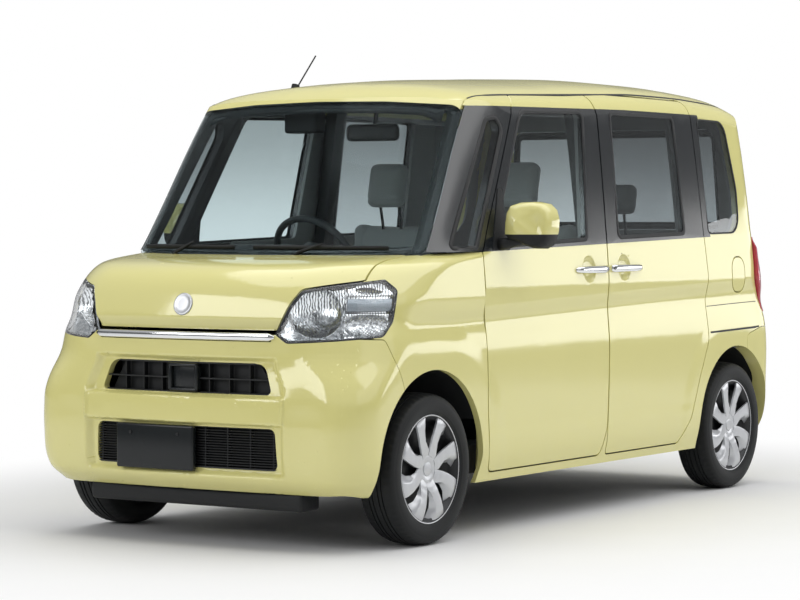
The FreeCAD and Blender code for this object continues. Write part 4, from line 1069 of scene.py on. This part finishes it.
# A strip inside the pane between rows of outer and inner spots
def stripMesh(rows):
    rings = []
    for row in rows:
        a, b = [screenSpot(x, z, borderForm["inside"]) for x, z in row]
        if a is not None and b is not None:
            rings.append([a, b, b + borderForm["deeper"], a + borderForm["deeper"]])
    return ringMesh("strip", rings)


sideRows = []
for i in range(40):
    z = 1012 + (1588 - 1012) * i / 39
    edge = lastHit(0.0, 700.0, lambda x: screenSpot(x, z))
    if edge > 100:
        sideRows.append(((edge - 2, z), (edge - borderForm["side"], z)))
topRows = []
lowRows = []
for i in range(49):
    x = -540 + 1080 * i / 48
    top = lastHit(1400.0, 1700.0, lambda z: screenSpot(x, z))
    sag = 26.0 * soft(abs(x), 440.0, 560.0)
    topRows.append(((x, top - 3), (x, top - borderForm["top"] - sag)))
    x = -600 + 1200 * i / 48
    foot = screenFoot(x, 960.0)
    lowRows.append(((x, foot + 2), (x, foot + borderForm["low"])))
borders = [stripMesh(rows) for rows in (sideRows, topRows, lowRows)]
borders.append(flipped(borders[0]))
addPiece("windscreen_border", joinMeshes("borderMesh", borders), blackTrim, "body", "black_trim")


# Points round an outline with rounded corners, grown outward, as distance along and height in millimetres
def roundedLoop(corners, grow=0.0, arcs=7):
    loop = []
    count = len(corners)
    for i in range(count):
        before = Vector(corners[i - 1][:2])
        here = Vector(corners[i][:2])
        after = Vector(corners[(i + 1) % count][:2])
        first = (before - here).normalized()
        second = (after - here).normalized()
        half = first.angle(second) / 2
        middle = (first + second).normalized()
        radius = corners[i][2] + grow
        corner = here - middle * (grow / math.sin(half))
        reach = min(radius / math.tan(half), 0.45 * (before - here).length, 0.45 * (after - here).length)
        radius = reach * math.tan(half)
        centre = corner + middle * (radius / math.sin(half))
        start = corner + first * reach - centre
        end = corner + second * reach - centre
        turn = start.angle_signed(end) if radius > 0.5 else 0.0
        for j in range(arcs):
            share = j / (arcs - 1)
            angle = -turn * share
            c = math.cos(angle)
            d = math.sin(angle)
            loop.append((centre.x + start.x * c - start.y * d, centre.y + start.x * d + start.y * c))
    return loop


# A raised ring on a surface, round an outline, between two growths of it
def ringOn(name, trees, corners, grows, view, lift, thick):
    rings = []
    for row in zip(*[roundedLoop(corners, grow) for grow in grows]):
        spots = [seen(trees, view, a, b) for a, b in row]
        if None not in spots:
            low = [found[1] + found[2] * ((lift - thick) / 1000) for found in spots]
            high = [found[1] + found[2] * (lift / 1000) for found in spots]
            rings.append([low[0], low[1], high[1], high[0]])
    work = opened(ringMesh(name, rings + rings[:1], capEnds=False))
    bmesh.ops.remove_doubles(work, verts=work.verts, dist=1e-5)
    bmesh.ops.recalc_face_normals(work, faces=work.faces)
    return meshOf(work, name)


print("window seals")

# Corners as distance along, height and rounding in millimetres, then surfaces, body and the ring's growths
sealForm = {
    "front": ([(428, 1060, 25), (733, 1572, 70), (1222, 1584, 25), (1152, 1082, 25)],
              ["front_door_left", "front_door_glass_left"], "front_door_*", (-9.0, 7.0)),
    "slide": ([(1412, 1088, 25), (1448, 1588, 25), (1998, 1588, 25), (1998, 1101, 25)],
              ["slide_door_left", "side_glass"], "body", (-9.0, 7.0)),
    "quarter": ([(2222, 1100, 25), (2222, 1585, 25), (2474, 1581, 70), (2530, 1290, 250), (2518, 1104, 85)],
                ["side_frame_left", "side_glass"], "body", (-4.0, 3.0)),
    "wing": ([(178, 1056, 10), (322, 1056, 15), (590, 1500, 60), (560, 1545, 20), (505, 1535, 30)],
             ["side_frame_left", "side_glass"], "body", (-9.0, 7.0))}
for key, (corners, nodes, body, grows) in sealForm.items():
    seal = ringOn(key + "Seal", surfaceOf(*nodes), corners, grows, "side", 1.6, 3.2)
    addPair(key + "_seal_*", seal, rubber, body, "black_plastic")

print("inner mirror, sensor box, wipers and cowl")

sensor = boxMesh("sensorMesh", -242, -90, 456, 530, 1494, 1590, 12, 4)
addPiece("sensor_box", sensor, blackPlastic, "body", "black_plastic")
glassMirror = [boxMesh("innerMirror", 40, 272, 468, 496, 1459, 1524, 22, 5),
               tubeMesh("mirrorStem", [at(156, 490, 1500), at(156, 506, 1560), at(156, 512, 1592)], 0.008, 12)]
addPiece("inner_mirror", joinMeshes("innerMirrorMesh", glassMirror), blackPlastic, "body", "black_plastic")

wiperForm = {"left": {"pivot": 110, "blade": (-40, 520)}, "right": {"pivot": -430, "blade": (-590, -130)}}
bladeLean = Vector((0, 1, 0.3)).normalized()
bladeRise = Vector((0, -0.3, 1)).normalized()
for side, settings in wiperForm.items():
    low, high = settings["blade"]
    spots = [screenSpot(low + (high - low) * i / 14, 1052) for i in range(15)]
    blade = [spot for spot in spots if spot is not None]
    stations = [(spot + Vector((0, -0.012, 0.006)), 0.0045, 0.009, 2.2) for spot in blade]
    middle = blade[len(blade) // 2] + Vector((0, -0.022, 0.012))
    pivot = at(settings["pivot"], -20, 1006)
    joint = pivot + (middle - pivot) * 0.42 + Vector((0, -0.006, 0.010))
    arm = [pivot, joint, middle, middle + (middle - joint).normalized() * 0.03]
    cap = [pivot - zAxis * 0.012, pivot + zAxis * 0.010, pivot + zAxis * 0.013]
    parts = [sections("blade", stations, bladeLean, bladeRise, 8),
             tubeMesh("arm", arm, [0.010, 0.0075, 0.005, 0.004]),
             tubeMesh("cap", cap, [0.015, 0.015, 0.011], 20)]
    addPiece("wiper_" + side, joinMeshes("wiper", parts), blackPlastic, "body", "black_plastic")
cowlRings = []
for i in range(33):
    x = -600 + 1200 * i / 32
    foot = screenSpot(x, screenFoot(x, 975.0) + 2, -0.004)
    front = at(x, -64 + 52 * (abs(x) / 600) ** 2.5, 990 - 4 * (abs(x) / 600) ** 2)
    cowlRings.append([foot, foot - zAxis * 0.012, front - zAxis * 0.010, front])
addPiece("cowl", ringMesh("cowlMesh", cowlRings), blackPlastic, "body", "black_plastic", smooth=False)

print("seats")

# Sizes are wide, deep and thick in millimetres. Each pad is built lying flat and then turned into place
cushions = {
    "front_cushion": {"size": (474, 466, 112), "place": (315, 1175, 618), "lean": 0.0, "crown": 10,
                      "round": 42, "seams": [("x", 150), ("x", -150), ("y", 60)], "cap": 0.024,
                      "node": "front_seats"},
    "front_back": {"size": (452, 512, 92), "place": (315, 1355, 898), "lean": 76.0, "crown": 9, "round": 40,
                   "seams": [("x", 142), ("x", -142), ("y", 60), ("y", -120)], "cap": 0.022, "node": None},
    "front_head": {"size": (176, 186, 74), "place": (315, 1312, 1300), "lean": 78.0, "crown": 8, "round": 34,
                   "seams": [("y", -62)], "cap": 0.012, "node": None},
    "rear_cushion": {"size": (476, 424, 106), "place": (258, 2105, 620), "lean": 0.0, "crown": 9, "round": 40,
                     "seams": [("x", 150), ("x", -150), ("y", 40)], "cap": 0.022, "node": "rear_seats"},
    "rear_back": {"size": (476, 478, 82), "place": (258, 2276, 872), "lean": 76.0, "crown": 8, "round": 36,
                  "seams": [("x", 150), ("x", -150), ("y", 50)], "cap": 0.018, "node": None},
    "rear_head": {"size": (214, 132, 62), "place": (258, 2222, 1246), "lean": 78.0, "crown": 6, "round": 30,
                  "seams": [], "cap": 0.010, "node": None}}
padSettings = {"voxel": 0.006, "frames": 20, "fill": 0.7, "seam": 0.0045, "piping": 0.0030}
clothSettings = {"use_pressure": True, "uniform_pressure_force": 4.0, "quality": 4, "tension_stiffness": 12.0,
                 "compression_stiffness": 12.0, "bending_stiffness": 0.6}


def padShape(settings):
    wide, deep, thick = [value / 1000 for value in settings["size"]]
    work = bmesh.new()
    bmesh.ops.create_cube(work, size=1.0)
    bmesh.ops.scale(work, verts=work.verts, vec=(wide, deep, thick))
    bmesh.ops.bevel(work, geom=work.edges[:], offset=settings["round"] / 1000, segments=5, profile=0.5,
                    affect="EDGES", material=-1)
    for axis, reach in ((xAxis, wide), (yAxis, deep)):
        for i in range(1, 12):
            cutPlane(work, axis * (reach * i / 12 - reach / 2), axis)
    for vert in work.verts:
        x = vert.co.x / (wide / 2)
        y = vert.co.y / (deep / 2)
        vert.co.x *= 1 - 0.020 * (1 - y * y)
        vert.co.y *= 1 - 0.020 * (1 - x * x)
        lift = settings["crown"] / 1000 * (1 - x * x) * (1 - y * y)
        vert.co.z += lift if vert.co.z > 0 else -0.3 * lift
    return meshOf(work, "padShape")


def evaluated(obj):
    graph = bpy.context.evaluated_depsgraph_get()
    graph.update()
    return bpy.data.meshes.new_from_object(obj.evaluated_get(graph), depsgraph=graph)


# Blown up by a cloth simulation, with each point's way held under a cap in metres
def swollen(mesh, cap):
    obj = bpy.data.objects.new("padSim", mesh)
    scene.collection.objects.link(obj)
    remesh = obj.modifiers.new("remesh", "REMESH")
    remesh.mode = "VOXEL"
    remesh.voxel_size = padSettings["voxel"]
    plain = evaluated(obj)
    obj.modifiers.remove(remesh)
    obj.data = plain
    start = [vert.co.copy() for vert in plain.vertices]
    cloth = obj.modifiers.new("cloth", "CLOTH")
    for key, value in clothSettings.items():
        setattr(cloth.settings, key, value)
    cloth.settings.effector_weights.gravity = 0.0
    cloth.collision_settings.use_collision = False
    cloth.point_cache.frame_start = 1
    cloth.point_cache.frame_end = padSettings["frames"]
    for step in range(1, padSettings["frames"] + 1):
        scene.frame_set(step)
    result = evaluated(obj)
    scene.frame_set(1)
    bpy.data.objects.remove(obj)
    for vert, before in zip(result.vertices, start):
        moved = vert.co - before
        if moved.length > 1e-7:
            vert.co = before + moved.normalized() * (cap * (1 - math.exp(-moved.length / cap)))
    return result


# Pressed in along the seams and the piping, then turned into place
def sewn(mesh, settings):
    work = opened(mesh)
    bmesh.ops.smooth_vert(work, verts=work.verts, factor=0.5, use_axis_x=True, use_axis_y=True,
                          use_axis_z=True)
    work.normal_update()
    thick = settings["size"][2] / 1000
    moves = []
    for vert in work.verts:
        drop = padSettings["piping"] * math.exp(-((vert.co.z + thick * 0.12) / 0.006) ** 2)
        for axis, spot in settings["seams"]:
            away = (vert.co.x if axis == "x" else vert.co.y) - spot / 1000
            if vert.co.z > -thick * 0.2:
                drop += padSettings["seam"] * math.exp(-(away / 0.0065) ** 2)
        moves.append(vert.normal * -drop)
    for vert, move in zip(work.verts, moves):
        vert.co += move
    turn = Matrix.Rotation(math.radians(settings["lean"]), 4, "X")
    bmesh.ops.transform(work, matrix=Matrix.Translation(at(*settings["place"])) @ turn, verts=work.verts)
    return meshOf(work, "padMesh")


for key, settings in cushions.items():
    shape = sewn(swollen(padShape(settings), settings["cap"]), settings)
    nodes = [settings["node"]] if settings["node"] else []
    for pad in addPair(key + "_*", shape, seatCloth, "body", "seat_cloth", nodes):
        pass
    print("seat piece", key)
parts = [boxMesh("seatBase", 115, 515, 980, 1380, 292, 566, 18),
         boxMesh("seatPan", 89, 541, 950, 1400, 548, 572, 8)]
for middle, stalk in ((315, [(1346, 1120), (1332, 1180), (1318, 1240)]),
                      (258, [(2248, 1080), (2236, 1150), (2226, 1215)])):
    for x in (middle - 45, middle + 45):
        parts.append(tubeMesh("stalk", [at(x, y, z) for y, z in stalk], 0.006))
addPair("seat_frames_*", joinMeshes("seatFrames", parts), blackPlastic, "body", "black_plastic")

print("roof strips")

roofTrees = surfaceOf("roof_panel", "side_frame_left")
stripRings = []
for i in range(61):
    y = 462 + (2560 - 462) * i / 60
    half = 6.5 if 3 < i < 58 else 4.0
    row = [hitOn(roofTrees, at(x, y, 2200), -zAxis) for x in (588 - half, 588, 588 + half)]
    if None in row or abs(row[0][1].z - row[2][1].z) > 0.03:
        continue
    left, middle, right = [found[1] for found in row]
    crest = Vector((middle.x, middle.y, (left.z + right.z) / 2 + 0.0022))
    stripRings.append([left - zAxis * 0.004, left + zAxis * 0.0005, crest, right + zAxis * 0.0005,
                       right - zAxis * 0.004])
addPair("roof_strip_*", ringMesh("roofStripMesh", stripRings), rubber, "body", "black_plastic")

print("rail slot and seam of the rear quarter")

quarterTrees = surfaceOf("side_frame_left")
quarterLines = {
    "rail_slot": ([(2178, 678), (2178, 686), (2600, 694), (2716, 698), (2716, 664), (2664, 668), (2640, 686)],
                  0.8, 2.0),
    "quarter_seam": ([(2178, 792.0), (2178, 795.0), (2420, 800.2), (2660, 804.4), (2660, 801.4),
                      (2420, 797.2)], 0.5, 1.6)}
for name, (outline, lift, thick) in quarterLines.items():
    mesh = plateOn(name + "Mesh", quarterTrees, outline, "side", lift, thick, 25.0)
    addPair(name + "_*", mesh, rubber, "body", "black_plastic", smooth=False)

print("rear pieces")

rearTrees = surfaceOf("tailgate", "tailgate_glass")
# Half width, low and high edge, material, slot, lift and thickness
rearForm = {
    "gate_garnish": (318, 1012, 1048, blackTrim, "black_trim", 16.0, 14.0),
    "gate_plate_frame": (174, 802, 978, blackPlastic, "black_plastic", 5.0, 4.5),
    "gate_plate": (165, 809, 971, plateWhite, "black_trim", 7.0, 2.0),
    "stop_lamp": (130, 1588, 1606, tailRed, "tail_lamp", 5.0, 5.0)}
for name, (half, low, high, material, slotName, lift, thick) in rearForm.items():
    outline = [(-half, low), (half, low), (half, high), (-half, high)]
    mesh = plateOn(name + "Mesh", rearTrees, outline, "rear", lift, thick, 40.0)
    addPiece(name, mesh, material, "tailgate", slotName, bevel=(0.0012, 2, 35))
gateCorners = [(-545, 1115, 40), (-520, 1560, 50), (520, 1560, 50), (545, 1115, 40)]
gateBorder = ringOn("gateBorderMesh", rearTrees, gateCorners, (-34.0, -1.0), "rear", 0.8, 1.6)
addPiece("gate_glass_border", gateBorder, blackTrim, "tailgate", "black_trim")
for side, sign in (("left", 1), ("right", -1)):
    outline = [(sign * x, z) for x, z in ((470, 330), (585, 336), (585, 362), (470, 356))]
    mesh = plateOn("rearReflectorMesh", surfaceOf("rear_bumper"), outline, "rear", 2.5, 3.0, 20.0)
    addPiece("rear_reflector_" + side, mesh, tailRed, "body", "tail_lamp", smooth=False)


def rearSpot(x, z, lift):
    found = seen(rearTrees, "rear", x, z)
    return found[1] + found[2] * (lift / 1000)


wiperPath = [rearSpot(x, 1136 + 0.03 * (x + 20), 26) for x in (-20, -100, -180, -250)]
bladePath = [rearSpot(x, 1133 - 0.02 * (x + 250), 12) for x in range(-400, -80, 20)]
capPath = [rearSpot(-20, 1136, lift) for lift in (-2, 30, 36)]
rearWiper = [tubeMesh("arm", wiperPath, [0.010, 0.008, 0.0065, 0.005]),
             tubeMesh("blade", bladePath, 0.0055, 8), tubeMesh("cap", capPath, [0.020, 0.019, 0.012], 24)]
addPiece("rear_wiper", joinMeshes("rearWiperMesh", rearWiper), blackPlastic, "tailgate", "black_plastic")

tailForm = {"push": 0.014, "longest": 0.016}


def tailShift(point):
    swell = soft(point.z, 0.775, 0.875) * soft(1.080 - point.z, 0.0, 0.050) * soft(abs(point.x), 0.655, 0.672)
    return Vector((math.copysign(1, point.x), 0.5, 0)) * (tailForm["push"] * swell)


tailMesh = sculpted("tailLampMesh", "tail_lamps", 5, lambda edge: edge.calc_length() > tailForm["longest"],
                    tailShift, join=5e-5)
addPiece("tail_lamp_lenses", tailMesh, tailRed, "body", "tail_lamp", ["tail_lamps"])

print("stage, lights and camera")


# A mask of the rays that come from the camera, straight or through glass
def fromCamera(tree):
    path = addNode(tree, "ShaderNodeLightPath").outputs
    return calc("MAXIMUM", signal(path["Is Camera Ray"]), path["Is Transmission Ray"])


work = bmesh.new()
bmesh.ops.create_grid(work, x_segments=1, y_segments=1, size=1.0)
bmesh.ops.scale(work, verts=work.verts, vec=(60, 75, 1))
bmesh.ops.translate(work, verts=work.verts, vec=(0, 15, 0))
floorMesh = meshOf(work, "floorMesh")
floor = bpy.data.objects.new("floor", floorMesh)
scene.collection.objects.link(floor)
floorMaterial = bpy.data.materials.new("floorWhite")
floorMaterial.use_nodes = True
tree = floorMaterial.node_tree
shader = tree.nodes["Principled BSDF"]
shader.inputs["Roughness"].default_value = 0.6
mottle = texture(tree, "Noise", "Fac", Scale=3.0)
feed(shader.inputs["Base Color"], blendColour(mottle, rgba(0.80, 0.80, 0.80), rgba(0.82, 0.82, 0.82)))
x, y, z = placeOf(tree)
away = ramp(calc("SQRT", x * 1.35 * (x * 1.35) + y * y), 2.0, 3.9)
glow = addNode(tree, "ShaderNodeEmission", {"Color": rgba(1, 1, 1), "Strength": 1.0})
mixShaders(tree, away * fromCamera(tree), shader, glow)
floorMesh.materials.append(floorMaterial)

world = bpy.data.worlds.new("studio")
scene.world = world
world.use_nodes = True
tree = world.node_tree
tree.nodes.clear()
tree.nodes.new("ShaderNodeOutputWorld")
climb = ramp(placeOf(tree, "Generated")[2], 0.0, 0.42)
sky = blendColour(climb, rgba(0.16, 0.17, 0.18), rgba(0.95, 0.96, 0.97))
room = addNode(tree, "ShaderNodeBackground", {"Color": sky, "Strength": 0.5})
plain = addNode(tree, "ShaderNodeBackground", {"Color": rgba(1, 1, 1), "Strength": 1.0})
mixShaders(tree, fromCamera(tree), room, plain)

# Place and target in metres, width and height in metres, and power in watts
lamps = {"overhead": ((1.8, 0.2, 5.8), (1.0, 0, 0), 7.6, 11.0, 430),
         "frontSoft": ((-2.5, -7.5, 3.2), (0, -0.5, 0.8), 5.0, 3.0, 150),
         "sideSoft": ((7.5, -1.0, 3.4), (0, 0.2, 0.8), 6.0, 3.0, 28),
         "rearSoft": ((4.5, 6.0, 1.22), (0.75, 0.1, 1.22), 7.0, 1.1, 66)}
for name, (place, target, wide, tall, power) in lamps.items():
    data = bpy.data.lights.new(name, "AREA")
    data.shape = "RECTANGLE"
    data.size = wide
    data.size_y = tall
    data.energy = power
    lamp = bpy.data.objects.new(name, data)
    scene.collection.objects.link(lamp)
    lamp.location = place
    lamp.rotation_euler = (Vector(target) - Vector(place)).to_track_quat("-Z", "Y").to_euler()

camera = bpy.data.cameras.new("camera")
camera.lens = 121.9
camera.sensor_width = 36
camera.clip_end = 200
cameraObject = bpy.data.objects.new("camera", camera)
scene.collection.objects.link(cameraObject)
cameraObject.location = (5.841, -9.3095, 1.166)
cameraObject.rotation_euler = (math.radians(90 - 1.73), 0, math.radians(32.79))
scene.camera = cameraObject
scene.view_settings.view_transform = "Standard"
